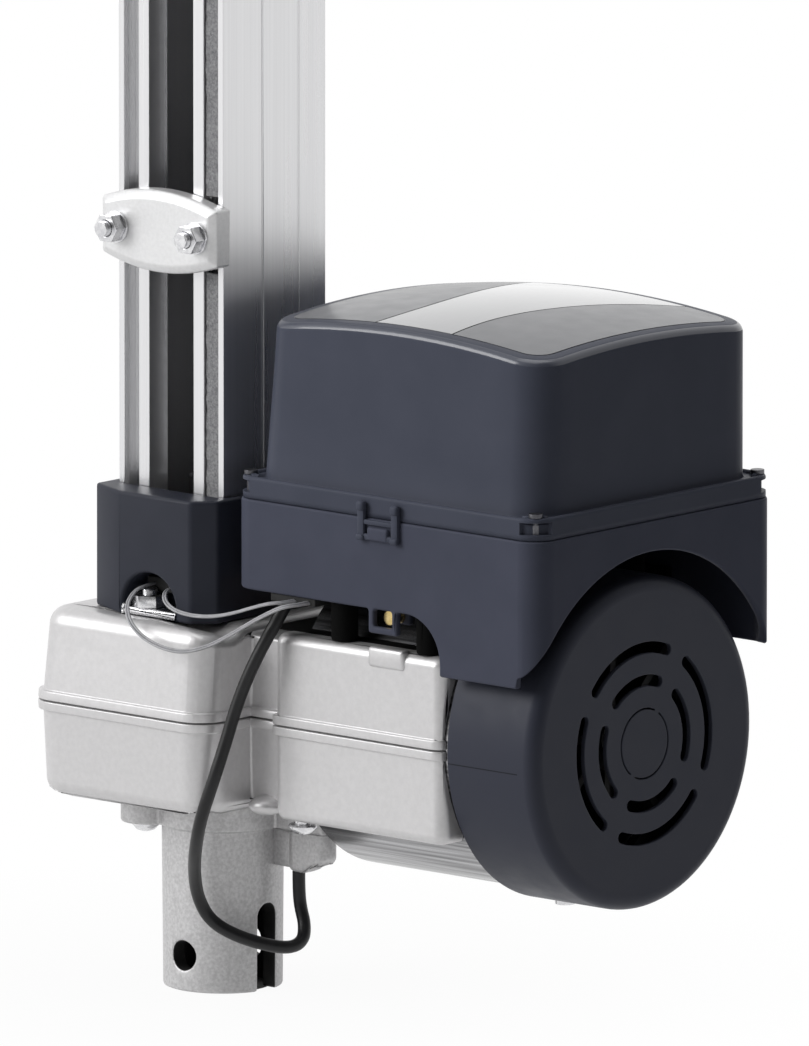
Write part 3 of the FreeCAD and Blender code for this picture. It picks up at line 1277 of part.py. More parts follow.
def make_cover():
    """Domed cover with its flange, latch loop, corner screws and seal."""
    centre = ("base_left + base_length / 2", "(base_back - base_front) / 2")
    crown_z = "cover_bottom + cover_tall - cover_crown_radius"
    wall = size("cover_wall")
    outer = overlap("cover_dome", cover_block("cover_outer", size("cover_inset"), size("cover_bottom"), 0.0),
                    ball("crown_outer", "cover_crown_radius", centre + (crown_z,)))
    inner = overlap("cover_hollow", cover_block("cover_inner", size("cover_inset") + wall,
                                                size("cover_bottom") - 1, wall),
                    ball("crown_inner", "cover_crown_radius - cover_wall", centre + (crown_z,)))
    inset = "cover_flange_inset"
    flange = rounded_box("cover_flange", ("base_left + " + inset, "-base_front + " + inset, "cover_bottom"),
                         ("base_right - " + inset, "base_back - " + inset, "cover_bottom + cover_flange_height"),
                         "base_corner")
    loop_back = "-base_front - catch_out - slide_gap"
    loop_front = loop_back + " - latch_thickness"
    loop_low = "base_top - latch_drop"
    loop_high = "cover_bottom + cover_flange_height - 1"
    loop = cut("latch_loop", box("latch_blank", ("latch_x", loop_front, loop_low),
                                 ("latch_x + latch_width", loop_back, loop_high)),
               [box("latch_window", ("latch_x + latch_bar", loop_front, loop_low + " + latch_bar"),
                    ("latch_x + latch_width - latch_bar", loop_back, "cover_bottom"))])
    root = box("latch_root", ("latch_x", loop_front, "cover_bottom + 1"),
               ("latch_x + latch_width", "1 - base_front", loop_high))
    spots = corner_screw_spots()
    holes = [rod("cover_screw_hole_%d" % index, "corner_screw_radius + seat_gap", "cover_bottom",
                 "cover_bottom + cover_flange_height", spot) for index, spot in enumerate(spots)]
    node(cut("cover", join("cover_solid", [outer, flange, loop, root]), [inner] + holes), "box_cover")

    screws = [pan_screw("cover_screw_%d" % index, "corner_screw_radius", "corner_screw_head_radius",
                        "corner_screw_head", "cover_bottom + cover_flange_height",
                        "base_top - corner_screw_bite", spot)
              for index, spot in enumerate(spots)]
    node(group("cover_screw_set", screws), "cover_screws")

    gap = "cover_inset + cover_wall + slide_gap"
    inner_gap = gap + " + seal_section"
    seal_top = "base_top + seal_section"
    outer = rounded_box("seal_outer", ("base_left + " + gap, "-base_front + " + gap, "base_top"),
                        ("base_right - (%s)" % gap, "base_back - (%s)" % gap, seal_top), "cover_inner_corner")
    inner = rounded_box("seal_inner", ("base_left + " + inner_gap, "-base_front + " + inner_gap, "base_top"),
                        ("base_right - (%s)" % inner_gap, "base_back - (%s)" % inner_gap, seal_top),
                        "seal_inner_corner")
    seal = cut("seal", outer, [inner])
    node(seal, "cover_seal")


def make_electrics():
    """Control board on its standoffs, with the parts soldered to it."""
    node(box("board", ("board_x", "board_y", "board_z"),
             ("board_x + board_length", "board_y + board_width", "board_top")), "control_board")
    can_front = "board_y + capacitor_from_front"
    can_x = "board_x + board_length - capacitor_inset - capacitor_radius"
    node(rod("capacitor_can", "capacitor_radius", can_front, can_front + " + capacitor_length",
             (can_x, "board_top + capacitor_radius"), "Y"), "motor_capacitor")
    core_x, core_y = "board_x + transformer_inset", "board_y + transformer_from_front"
    node(box("transformer_core", (core_x, core_y, "board_top"),
             (core_x + " + transformer_length", core_y + " + transformer_width", "board_top + transformer_height")),
         "transformer")
    relay_y = "board_y + relay_from_front"
    relays = []
    for index in range(3):
        x = "board_x + relay_inset + %d * relay_pitch" % index
        relays.append(box("relay_%d" % index, (x, relay_y, "board_top"),
                          (x + " + relay_length", relay_y + " + relay_width", "board_top + relay_height")))
    node(group("relay_set", relays), "relays")
    strip_x, strip_y = "board_x + terminal_inset", "board_y + terminal_from_front"
    node(box("terminal_block", (strip_x, strip_y, "board_top"),
             (strip_x + " + terminal_length", strip_y + " + terminal_width", "board_top + terminal_height")),
         "terminal_strip")


def make_cord(label, route, radius):
    """A tube along straight runs joined by tangent arcs that are as large as the runs allow."""
    points = [Vector(*point) for point in route]
    edges = []
    radii = []
    last = points[0]
    for before, corner, after in zip(points, points[1:], points[2:]):
        incoming = (corner - before).normalize()
        outgoing = (after - corner).normalize()
        half_turn = incoming.getAngle(outgoing) / 2
        trim = 0.45 * min((corner - before).Length, (after - corner).Length)
        bend = trim / math.tan(half_turn)
        radii.append(bend)
        inward = (outgoing - incoming).normalize()
        middle = corner + inward * (bend / math.cos(half_turn) - bend)
        start, end = corner - incoming * trim, corner + outgoing * trim
        edges.append(Part.LineSegment(last, start).toShape())
        edges.append(Part.Arc(start, middle, end).toShape())
        last = end
    edges.append(Part.LineSegment(last, points[-1]).toShape())
    path = Part.Wire(edges)
    section = Part.Wire([Part.makeCircle(radius, points[0], points[1] - points[0])])
    tube = path.makePipeShell([section], True, True)
    expected = math.pi * radius ** 2 * path.Length
    print("%s: length %.1f, radii %s, volume ratio %.4f"
          % (label, path.Length, " ".join("%.0f" % bend for bend in radii), tube.Volume / expected))
    shape_node(label, tube)


def write_steps():
    """Check every object and every sub-part, then write the sub-parts."""
    doc.recompute()
    for obj in doc.Objects:
        if "Invalid" in obj.State or "Error" in obj.State:
            raise RuntimeError("%s is %s" % (obj.Name, obj.State))
    for obj in nodes:
        shape = obj.Shape
        if shape.isNull() or not shape.isValid() or not shape.Solids:
            raise RuntimeError("%s has no valid shape" % obj.Label)
    os.makedirs("parts", exist_ok=True)
    for obj in nodes:
        obj.Shape.exportStep("parts/%s.step" % obj.Label)
    print("%d sub-parts" % len(nodes))


fill_sheet()
make_foot()
make_sensor()
make_case()
make_motor()
make_fan_cover()
make_rotor()
make_wheel()
make_hub()
make_rail()
make_collar()
make_carriage()
make_stop()
make_base()
make_cover()
make_electrics()
make_cord("motor_cable", MOTOR_CABLE_ROUTE, size("cable_radius"))
make_cord("left_sensor_wire", SENSOR_WIRE_LEFT_ROUTE, size("wire_radius"))
make_cord("right_sensor_wire", SENSOR_WIRE_RIGHT_ROUTE, size("wire_radius"))
write_steps()
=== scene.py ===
"""Looks of the up-and-over gate opener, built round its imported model. Lengths are in metres."""
import json
import math

import bmesh
import bpy
from mathutils import Matrix, Vector, noise


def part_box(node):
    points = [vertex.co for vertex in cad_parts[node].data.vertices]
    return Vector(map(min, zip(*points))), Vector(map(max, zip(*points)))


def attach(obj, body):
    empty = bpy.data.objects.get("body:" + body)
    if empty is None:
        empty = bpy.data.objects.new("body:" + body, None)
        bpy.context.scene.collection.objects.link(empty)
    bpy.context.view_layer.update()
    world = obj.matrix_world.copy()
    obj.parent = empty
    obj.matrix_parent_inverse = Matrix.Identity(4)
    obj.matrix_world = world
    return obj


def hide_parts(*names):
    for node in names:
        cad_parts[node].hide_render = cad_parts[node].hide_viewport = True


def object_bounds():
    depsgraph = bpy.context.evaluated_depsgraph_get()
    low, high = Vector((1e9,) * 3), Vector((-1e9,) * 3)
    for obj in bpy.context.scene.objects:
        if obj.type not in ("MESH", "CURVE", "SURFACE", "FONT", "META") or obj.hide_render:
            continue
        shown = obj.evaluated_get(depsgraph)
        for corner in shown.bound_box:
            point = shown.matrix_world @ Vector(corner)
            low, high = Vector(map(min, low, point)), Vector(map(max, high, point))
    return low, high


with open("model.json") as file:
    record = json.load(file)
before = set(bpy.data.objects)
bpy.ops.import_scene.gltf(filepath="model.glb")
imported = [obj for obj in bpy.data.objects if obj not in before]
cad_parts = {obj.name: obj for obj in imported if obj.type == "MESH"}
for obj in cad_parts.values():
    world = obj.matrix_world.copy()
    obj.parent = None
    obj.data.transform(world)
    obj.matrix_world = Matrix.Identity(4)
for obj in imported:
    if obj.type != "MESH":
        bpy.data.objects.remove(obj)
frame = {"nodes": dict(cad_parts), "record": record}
cad_low, cad_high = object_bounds()
scene = bpy.context.scene
scene.view_settings.view_transform = "Standard"

VIEW_AZIMUTH = math.radians(41.5)
VIEW_ELEVATION = math.radians(10.2)
VIEW_TARGET = Vector((0.0838, 0.0074, 0.1696))
VIEW_DISTANCE = 12.0
VIEW_HEIGHT = 0.3874
VIEW_REACH = 60.0
SENSOR_HEIGHT = 36.0


def new_object(name, data):
    made = bpy.data.objects.new(name, data)
    scene.collection.objects.link(made)
    return made


def set_camera():
    """Long lens from the front right, a little above the motor, framed as an upright picture."""
    level = math.cos(VIEW_ELEVATION)
    away = Vector((math.sin(VIEW_AZIMUTH) * level, -math.cos(VIEW_AZIMUTH) * level, math.sin(VIEW_ELEVATION)))
    lens = bpy.data.cameras.new("camera")
    lens.sensor_fit = "VERTICAL"
    lens.sensor_height = SENSOR_HEIGHT
    lens.lens = SENSOR_HEIGHT * VIEW_DISTANCE / VIEW_HEIGHT
    lens.clip_end = VIEW_REACH
    camera = new_object("camera", lens)
    camera.location = VIEW_TARGET + away * VIEW_DISTANCE
    camera.rotation_euler = (-away).to_track_quat("-Z", "Y").to_euler()
    scene.camera = camera


def put(tree, kind, inputs=(), **settings):
    """A shader node whose inputs are values or other nodes' sockets; returns its outputs."""
    node = tree.nodes.new("ShaderNode" + kind)
    for setting, value in settings.items():
        setattr(node, setting, value)
    for key, given in dict(inputs).items():
        if isinstance(given, bpy.types.NodeSocket):
            tree.links.new(given, node.inputs[key])
        else:
            node.inputs[key].default_value = given
    return node.outputs


def put_math(tree, operation, first, second=0.0):
    return put(tree, "Math", {0: first, 1: second}, operation=operation)[0]


def put_range(tree, value, low, high, to_low=0.0, to_high=1.0):
    return put(tree, "MapRange", {"Value": value, "From Min": low, "From Max": high,
                                  "To Min": to_low, "To Max": to_high})[0]


def sort_rays(tree):
    """The light path's outputs, and 1 for rays straight from the camera or let through."""
    rays = put(tree, "LightPath")
    return rays, put_math(tree, "MAXIMUM", rays["Is Camera Ray"], rays["Is Transmission Ray"])


# name, place, target, width, height, power
LAMPS = (("key", (-1.5, -2.2, 1.5), (0.04, 0.0, 0.15), 1.6, 1.8, 51.0),
         ("overhead", (0.1, -0.2, 2.6), (0.1, 0.0, 0.2), 1.8, 1.8, 18.0),
         ("far_side", (2.4, 0.6, 1.0), (0.1, 0.0, 0.2), 0.9, 1.6, 0.4))
# each as low, high and the levels there
LEFT_TO_RIGHT = (-0.9, 0.65, 0.95, 0.02)
FRONT_TO_BACK = (-0.15, 0.35)
BACK_TO_RIGHT = (0.0, 0.6, 1.0, 0.72)
ROUND_STRENGTH = 0.46
GLOSS_STRENGTH = 1.08
WHITE = (1.0, 1.0, 1.0, 1.0)


def set_studio():
    """White to the camera, soft light that fades to the right, one broad key and two weak fills."""
    world = bpy.data.worlds.new("studio")
    scene.world = world
    world.use_nodes = True
    tree = world.node_tree
    tree.nodes.clear()
    rays, direct = sort_rays(tree)
    way = put(tree, "SeparateXYZ", {0: put(tree, "TexCoord")["Generated"]})
    side = put_range(tree, way["X"], *LEFT_TO_RIGHT)
    around = put(tree, "Mix", {"Factor": put_range(tree, way["Y"], *FRONT_TO_BACK), "A": side,
                               "B": put_range(tree, way["X"], *BACK_TO_RIGHT)})[0]
    round_light = put(tree, "Background", {"Color": side, "Strength": ROUND_STRENGTH})[0]
    gloss_light = put(tree, "Background", {"Color": around, "Strength": GLOSS_STRENGTH})[0]
    backdrop = put(tree, "Background", {"Color": WHITE, "Strength": 1.0})[0]
    lit = put(tree, "MixShader", {0: rays["Is Glossy Ray"], 1: round_light, 2: gloss_light})[0]
    shown = put(tree, "MixShader", {0: direct, 1: lit, 2: backdrop})[0]
    put(tree, "OutputWorld", {"Surface": shown})
    for name, place, target, width, height, power in LAMPS:
        light = bpy.data.lights.new(name, "AREA")
        light.shape = "RECTANGLE"
        light.size, light.size_y, light.energy = width, height, power
        lamp = new_object(name, light)
        lamp.location = place
        lamp.rotation_euler = (Vector(target) - Vector(place)).to_track_quat("-Z", "Y").to_euler()


FLOOR_RADIUS = 14.0
FOOT_SHADE = (0.022, 0.25, 0.95, 1.0)
FOOT_EDGE = 0.0225


def make_floor():
    """Pale floor under the foot; it shows white to the camera and keeps the object's shadow."""
    bm = bmesh.new()
    bmesh.ops.create_circle(bm, cap_ends=True, segments=64, radius=FLOOR_RADIUS)
    bmesh.ops.translate(bm, verts=bm.verts, vec=(0.0, 0.0, cad_low[2]))
    mesh = bpy.data.meshes.new("floor")
    bm.to_mesh(mesh)
    bm.free()
    floor = new_object("floor", mesh)
    material = finish("pale_floor", (0.62, 0.62, 0.62), 0.9, specular=0.1)
    tree = material.node_tree
    rays, direct = sort_rays(tree)
    reach = put(tree, "VectorMath", {0: put(tree, "TexCoord")["Object"]}, operation="LENGTH")["Value"]
    level = put_math(tree, "MULTIPLY", put_range(tree, reach, *FOOT_SHADE),
                     put_math(tree, "GREATER_THAN", reach, FOOT_EDGE))
    share = put_math(tree, "MULTIPLY", put_math(tree, "MAXIMUM", direct, rays["Is Glossy Ray"]), level)
    shown = put(tree, "MixShader", {0: share, 1: tree.nodes["Principled BSDF"].outputs[0],
                                    2: put(tree, "Emission")[0]})[0]
    tree.links.new(shown, tree.nodes["Material Output"].inputs["Surface"])
    mesh.materials.append(material)


EVEN = (1.0, 1.0, 1.0)
GLOSS_SPAN = (0.3, 0.7)
FINISHES = {}


def grain(tree, size, detail=3.0, stretch=EVEN, rough=0.55):
    """Noise of about that size in metres, longer along the stretched directions."""
    where = put(tree, "Mapping", {"Vector": put(tree, "TexCoord")["Object"],
                                  "Scale": [1.0 / (size * way) for way in stretch]})[0]
    return put(tree, "TexNoise", {"Vector": where, "Scale": 1.0, "Detail": detail, "Roughness": rough})["Fac"]


def tint(tree, pattern, dark, light, low=0.35, high=0.65):
    """Colour between dark and light by the pattern."""
    ramp = tree.nodes.new("ShaderNodeValToRGB")
    for stop, place, colour in zip(ramp.color_ramp.elements, (low, high), (dark, light)):
        stop.position = place
        stop.color = (*colour, 1.0)
    tree.links.new(pattern, ramp.inputs["Fac"])
    tree.links.new(ramp.outputs["Color"], tree.nodes["Principled BSDF"].inputs["Base Color"])


def finish(name, colour, roughness, metallic=0.0, specular=0.5, bumps=(), coat=(0.0, 0.03)):
    """A named finish. Its colour is plain or (grain, dark, light), its roughness plain or (grain, low, high), and its
    bumps are (grain, height, strength); coat is the weight and roughness of a clear coat."""
    material = bpy.data.materials.new(name)
    material.use_nodes = True
    tree = material.node_tree
    shader = tree.nodes["Principled BSDF"].inputs
    for key, value in (("Metallic", metallic), ("Specular IOR Level", specular), ("Coat Weight", coat[0]),
                       ("Coat Roughness", coat[1])):
        shader[key].default_value = value
    if isinstance(colour[0], tuple):
        tint(tree, grain(tree, *colour[0]), *colour[1:])
    else:
        shader["Base Color"].default_value = (*colour, 1.0)
    if isinstance(roughness, tuple):
        tree.links.new(put_range(tree, grain(tree, *roughness[0]), *GLOSS_SPAN, *roughness[1:]), shader["Roughness"])
    else:
        shader["Roughness"].default_value = roughness
    for pattern, height, strength in bumps:
        inputs = {"Distance": height, "Strength": strength, "Height": grain(tree, *pattern)}
        if shader["Normal"].is_linked:
            inputs["Normal"] = shader["Normal"].links[0].from_socket
        tree.links.new(put(tree, "Bump", inputs)[0], shader["Normal"])
    FINISHES[name] = material
    return material


PARTING_Z = 0.0920
PARTING_LINE = (0.00015, 0.00030, 1.0, 0.0)
PARTING_END = 0.176
DRUM_COLOUR = (0.050, 0.054, 0.075)
FINE_GRAIN = (((0.0005,), 0.00003, 0.5),)


def make_fan_cover_plastic():
    """Dark moulded plastic with the mould's fine parting line along the drum."""
    tree = finish("fan_cover_plastic", DRUM_COLOUR, ((0.010,), 0.38, 0.48), specular=0.14,
                  bumps=FINE_GRAIN).node_tree
    place = put(tree, "SeparateXYZ", {0: put(tree, "TexCoord")["Object"]})
    gap = put_math(tree, "ABSOLUTE", put_math(tree, "SUBTRACT", place["Z"], PARTING_Z))
    line = put_math(tree, "MULTIPLY", put_range(tree, gap, *PARTING_LINE),
                    put_math(tree, "LESS_THAN", place["X"], PARTING_END))
    tint(tree, line, DRUM_COLOUR, (0.012, 0.013, 0.018), 0.05, 0.95)


ALONG_RAIL = (1.0, 1.0, 60.0)
DRAWN_RAIL = (1.0, 1.0, 160.0)
ROUND_FOOT = (60.0, 60.0, 1.0)
COVER_TONES = ((0.03, 4.0), (0.074, 0.081, 0.110), (0.082, 0.089, 0.120))


def shaded(colour, share):
    return [share * part for part in colour]


def make_finishes():
    """Every finish of the opener by its material slot or its look."""
    finish("cast_aluminium", ((0.0022, 4.0), (0.65, 0.642, 0.647), (0.69, 0.682, 0.687)),
           ((0.0030, 4.0), 0.36, 0.46), 0.5, bumps=(((0.0005,), 0.00006, 0.5), ((0.0030,), 0.00008, 0.25)))
    finish("foot_casting", ((0.0012, 5.0), (0.52, 0.515, 0.52), (0.67, 0.665, 0.67)), ((0.0020,), 0.44, 0.58), 0.5,
           bumps=(((0.0006, 4.0), 0.00010, 0.6),))
    finish("turned_aluminium", ((0.0016, 3.0, ROUND_FOOT), (0.12, 0.12, 0.125), (0.44, 0.44, 0.45)), 0.26, 0.9,
           bumps=(((0.0012, 3.0, ROUND_FOOT), 0.00012, 0.6),))
    finish("rail_aluminium", ((0.0012, 3.0, DRAWN_RAIL), (0.74, 0.74, 0.75), (0.78, 0.78, 0.79)),
           ((0.012, 3.0, ALONG_RAIL), 0.25, 0.30), 0.9)
    # painted shade: a darker copy of the rail's colour for the inside of its chamber
    finish("rail_inside_painted_shade", ((0.012, 3.0, ALONG_RAIL), (0.49, 0.49, 0.50), (0.55, 0.55, 0.56)), 0.34, 0.8)
    finish("satin_aluminium", ((0.0016, 4.0), (0.74, 0.74, 0.745), (0.79, 0.79, 0.795)), 0.44, 0.55,
           bumps=(((0.0005,), 0.00005, 0.6),))
    finish("zinc_steel", ((0.003, 4.0), (0.60, 0.60, 0.62), (0.80, 0.80, 0.81)), ((0.002,), 0.18, 0.32), 1.0)
    finish("machined_steel", ((0.001, 3.0, (1.0, 1.0, 0.15)), (0.38, 0.38, 0.39), (0.55, 0.55, 0.56)), 0.32, 1.0,
           bumps=(((0.0006, 3.0, (4.0, 4.0, 0.3)), 0.00002, 0.5),))
    finish("blued_steel", ((0.002,), (0.08, 0.08, 0.09), (0.13, 0.13, 0.14)), 0.35, 0.9)
    for slot, dark, light, roughness in (("gear_bronze", (0.52, 0.34, 0.15), (0.68, 0.47, 0.24), 0.34),
                                         ("terminal_brass", (0.60, 0.45, 0.18), (0.78, 0.61, 0.30), 0.26),
                                         ("copper_wire", (0.48, 0.20, 0.09), (0.66, 0.32, 0.17), 0.36)):
        finish(slot, ((0.003, 4.0), dark, light), roughness, 1.0)

    finish("dark_plastic", ((0.02, 4.0), (0.074, 0.080, 0.111), (0.082, 0.088, 0.122)), ((0.012,), 0.40, 0.52),
           specular=0.05, bumps=FINE_GRAIN)
    finish("collar_plastic", ((0.02, 4.0), (0.026, 0.029, 0.042), (0.031, 0.034, 0.049)), 0.44, specular=0.2,
           bumps=FINE_GRAIN)
    finish("cover_plastic", COVER_TONES, ((0.015,), 0.32, 0.42), specular=0.05,
           bumps=(((0.0006,), 0.00002, 0.5),))
    finish("cover_rim", COVER_TONES, 0.30, specular=0.4, coat=(0.5, 0.14))
    finish("cover_band", ((0.02,), (0.16, 0.165, 0.18), (0.18, 0.185, 0.20)), ((0.010,), 0.08, 0.12), specular=0.9,
           coat=(1.0, 0.05))
    finish("cover_field", ((0.004,), (0.055, 0.059, 0.072), (0.065, 0.069, 0.084)), ((0.008,), 0.32, 0.40),
           specular=0.6, bumps=(((0.0007, 2.0), 0.00008, 0.6),), coat=(0.5, 0.25))
    make_fan_cover_plastic()
    for slot, colour, roughness in (("black_plastic", (0.018, 0.018, 0.020), 0.5),
                                    ("white_plastic", (0.74, 0.74, 0.72), 0.45),
                                    ("green_plastic", (0.045, 0.26, 0.11), 0.42),
                                    ("nut_polymer", (0.68, 0.67, 0.63), 0.5)):
        finish(slot, ((0.01,), shaded(colour, 0.9), shaded(colour, 1.06)), roughness,
               bumps=(((0.0006,), 0.00003, 0.4),))
    for slot, colour, roughness in (("black_rubber", (0.018, 0.018, 0.018), 0.7),
                                    ("cable_black", (0.008, 0.008, 0.009), 0.42)):
        finish(slot, ((0.004,), shaded(colour, 0.8), shaded(colour, 1.25)), roughness, specular=0.35,
               bumps=(((0.0007,), 0.00004, 0.4),))

    # painted shade: flat black for the posts and the sheets in the shade under the base
    finish("painted_shade_black", (0.006, 0.006, 0.006), 0.9, specular=0.05, bumps=(((0.002,), 0.0002, 0.5),))
    finish("wire_grey", ((0.004,), (0.40, 0.40, 0.42), (0.48, 0.48, 0.50)), 0.40)
    finish("grey_felt", ((0.0009, 6.0, EVEN, 0.7), (0.20, 0.20, 0.21), (0.44, 0.44, 0.45), 0.34, 0.66), 0.95,
           specular=0.1, bumps=(((0.0007, 5.0, EVEN, 0.7), 0.0006, 0.8),))
    finish("seam_sealant", ((0.003,), (0.14, 0.14, 0.14), (0.26, 0.26, 0.26)), 0.6)
    finish("board_laminate", ((0.003,), (0.015, 0.13, 0.045), (0.03, 0.21, 0.08)), 0.3)


BODY_OF = {node: body for body, nodes in frame["record"]["behaviour"]["bodies"].items() for node in nodes}
SLOT_OF = {part["node"]: part["material_slot"] for part in frame["record"]["subparts"]}
NODE_LOOKS = {"case_gasket": "seam_sealant", "cover_screws": "blued_steel", "fan_cover": "fan_cover_plastic",
              "rail_collar": "collar_plastic"}
SHARP_ANGLE = 34.0


def add_piece(name, bm, node, slot=None, body=None, edge=0.0, wall=0.0, angle=SHARP_ANGLE, more=(), look=None,
              weighted=False):
    """The mesh as a piece that stands for its node; edge rounds its corners, wall thickens a sheet."""
    body = body or BODY_OF[node]
    slot = slot or SLOT_OF[node]
    mesh = bpy.data.meshes.new(name)
    bm.to_mesh(mesh)
    bm.free()
    mesh.shade_smooth()
    for finish_name in (look or NODE_LOOKS.get(node, slot), *more):
        mesh.materials.append(FINISHES[finish_name])
    made = new_object(name, mesh)
    if wall:
        thicken = made.modifiers.new("wall", "SOLIDIFY")
        thicken.thickness = wall
        thicken.offset = -1.0
        thicken.use_even_offset = True
    if edge:
        corners = made.modifiers.new("edges", "BEVEL")
        corners.width = edge
        corners.segments = 2
        corners.limit_method = "WEIGHT" if weighted else "ANGLE"
        corners.angle_limit = math.radians(angle)
        corners.use_clamp_overlap = False
        corners.miter_outer = "MITER_ARC"
        made.modifiers.new("even_shading", "WEIGHTED_NORMAL").keep_sharp = True
    else:
        mesh.set_sharp_from_angle(angle=math.radians(angle))
    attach(made, body)
    if node:
        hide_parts(node)
    return made


def add_detail(name, bm, slot, body="housing", **looks):
    """A piece that stands for no node."""
    add_piece(name, bm, None, slot=slot, body=body, **looks)


NODE_MERGE = 0.000002
SPIN_MERGE = 0.000005


def node_shape(node):
    """A node's mesh, merged into whole faces."""
    bm = bmesh.new()
    bm.from_mesh(frame["nodes"][node].data)
    bmesh.ops.remove_doubles(bm, verts=bm.verts, dist=NODE_MERGE)
    bmesh.ops.dissolve_limit(bm, angle_limit=math.radians(0.5), verts=bm.verts, edges=bm.edges,
                             use_dissolve_boundaries=False)
    return bm


def paint_second(bm, chosen):
    """Gives the piece's second finish to the faces whose centre and normal are chosen."""
    for face in bm.faces:
        if chosen(face.calc_center_median(), face.normal):
            face.material_index = 1


def face_out(bm):
    bmesh.ops.recalc_face_normals(bm, faces=bm.faces)


def cut(bm, at, normal, clear_outer=False):
    """Divides the whole mesh along a plane."""
    bmesh.ops.bisect_plane(bm, geom=bm.verts[:] + bm.edges[:] + bm.faces[:], plane_co=at, plane_no=normal,
                           clear_outer=clear_outer)


def round_edges(bm, edges, width, segments):
    bmesh.ops.bevel(bm, geom=edges, offset=width, offset_type="OFFSET", affect="EDGES", segments=segments,
                    profile=0.5, material=-1)


def fresh_verts(drawn):
    return [item for item in drawn["geom"] if isinstance(item, bmesh.types.BMVert)]


def polar(radius, degrees):
    turn = math.radians(degrees)
    return radius * math.cos(turn), radius * math.sin(turn)


def lofted(bm, rings, close_first=False, close_last=False):
    """Rings of (x, y, z) points drawn out one from the other."""
    verts = bmesh.ops.create_circle(bm, cap_ends=False, segments=len(rings[0]), radius=1.0)["verts"]
    count = len(verts)
    for vert, place in zip(verts, rings[0]):
        vert.co = place
    edges = [bm.edges.get((verts[i], verts[(i + 1) % count])) for i in range(count)]
    if close_first:
        bmesh.ops.contextual_create(bm, geom=edges)
    for ring in rings[1:]:
        fresh = set(fresh_verts(bmesh.ops.extrude_edge_only(bm, edges=edges)))
        verts = [edge.other_vert(vert) for vert in verts for edge in vert.link_edges
                 if edge.other_vert(vert) in fresh]
        for vert, place in zip(verts, ring):
            vert.co = place
        edges = [bm.edges.get((verts[i], verts[(i + 1) % count])) for i in range(count)]
    if close_last:
        bmesh.ops.contextual_create(bm, geom=edges)
    face_out(bm)


def spun(bm, places, cent, axis, steps, angle=2 * math.pi, closed=False, dvec=(0, 0, 0)):
    """A line of points turned about an axis; a whole turn closes on itself."""
    whole = angle == 2 * math.pi
    verts = [bm.verts.new(place) for place in places]
    edges = [bm.edges.new(pair) for pair in zip(verts, verts[1:] + verts[:1] if closed else verts[1:])]
    bmesh.ops.spin(bm, geom=verts + edges, cent=cent, axis=axis, angle=angle, dvec=dvec, steps=steps,
                   use_merge=whole, use_duplicate=False)
    if whole:
        bmesh.ops.remove_doubles(bm, verts=bm.verts, dist=SPIN_MERGE)


def add_block(bm, low, high, bevel=0.0, segments=2):
    """A bar between two corners, with its edges rounded."""
    made = bmesh.ops.create_cube(bm, size=1.0)["verts"]
    bmesh.ops.scale(bm, vec=[b - a for a, b in zip(low, high)], verts=made)
    bmesh.ops.translate(bm, vec=[(a + b) / 2 for a, b in zip(low, high)], verts=made)
    if bevel:
        round_edges(bm, list({edge for vert in made for edge in vert.link_edges}), bevel, segments)


def add_rod(bm, start, end, radius, segments=24, bevel=0.0):
    """A round bar from start to end, with its rims rounded."""
    axis = Vector(end) - Vector(start)
    made = bmesh.ops.create_cone(bm, cap_ends=True, segments=segments, radius1=radius, radius2=radius,
                                 depth=axis.length)["verts"]
    bmesh.ops.rotate(bm, verts=made, cent=(0, 0, 0), matrix=axis.to_track_quat("Z", "Y").to_matrix())
    bmesh.ops.translate(bm, verts=made, vec=(Vector(start) + Vector(end)) / 2)
    if bevel:
        round_edges(bm, [edge for edge in {edge for vert in made for edge in vert.link_edges}
                         if any(len(face.verts) > 4 for face in edge.link_faces)], bevel, 3)


COVER_LOW = (0.037, -0.037)
COVER_HIGH = (0.188, 0.0985)
COVER_BOTTOM = 0.1803
COVER_TOP = 0.2540
COVER_WALL = 0.0023
FLANGE_TOP = 0.1885
CROWN_CENTRE = (0.1125, 0.03075)
CROWN_RADIUS = 0.440
COVER_DRAFT = 0.0028
POCKET_ARC = (math.radians(12.0), math.radians(78.0))
POCKET_LOW = COVER_BOTTOM + 0.0020
POCKET_HIGH = FLANGE_TOP - 0.0016
POCKET_DEPTH = 0.0019
# inset, corner radius, height and pocket depth, from the flange's lower edge inward
FLANGE_RINGS = (
    *((0.0005, 0.0095, z, depth) for z, depth in (
        (COVER_BOTTOM, 0.0), (POCKET_LOW, 0.0), (POCKET_LOW + 0.0001, POCKET_DEPTH),
        (POCKET_HIGH - 0.0001, POCKET_DEPTH), (POCKET_HIGH, 0.0), (FLANGE_TOP - 0.0009, 0.0))),
    (0.0008, 0.0092, FLANGE_TOP - 0.0003, 0.0), (0.0014, 0.0088, FLANGE_TOP, 0.0),
    (0.0022, 0.0085, FLANGE_TOP, 0.0), (0.0027, 0.0085, FLANGE_TOP - 0.0003, 0.0),
    (0.0030, 0.0090, FLANGE_TOP - 0.0010, 0.0), (0.0040, 0.0110, FLANGE_TOP - 0.0011, 0.0))
WALL_INSET = 0.0050
WALL_CORNER = 0.0150
WALL_DROP = 0.0055
RIM_RADIUS = 0.0028
RIM_ZONE = 0.2200
RIM_TILT = (0.25, 0.94)
SEAT_DROP = 0.0007
SEAT_CORNER = 0.0090
CORNER_STEPS = 8
SIDE_STEPS = 15


def crown_z(x, y):
    across = (x - CROWN_CENTRE[0]) ** 2 + (y - CROWN_CENTRE[1]) ** 2
    return COVER_TOP - CROWN_RADIUS + math.sqrt(CROWN_RADIUS ** 2 - across)


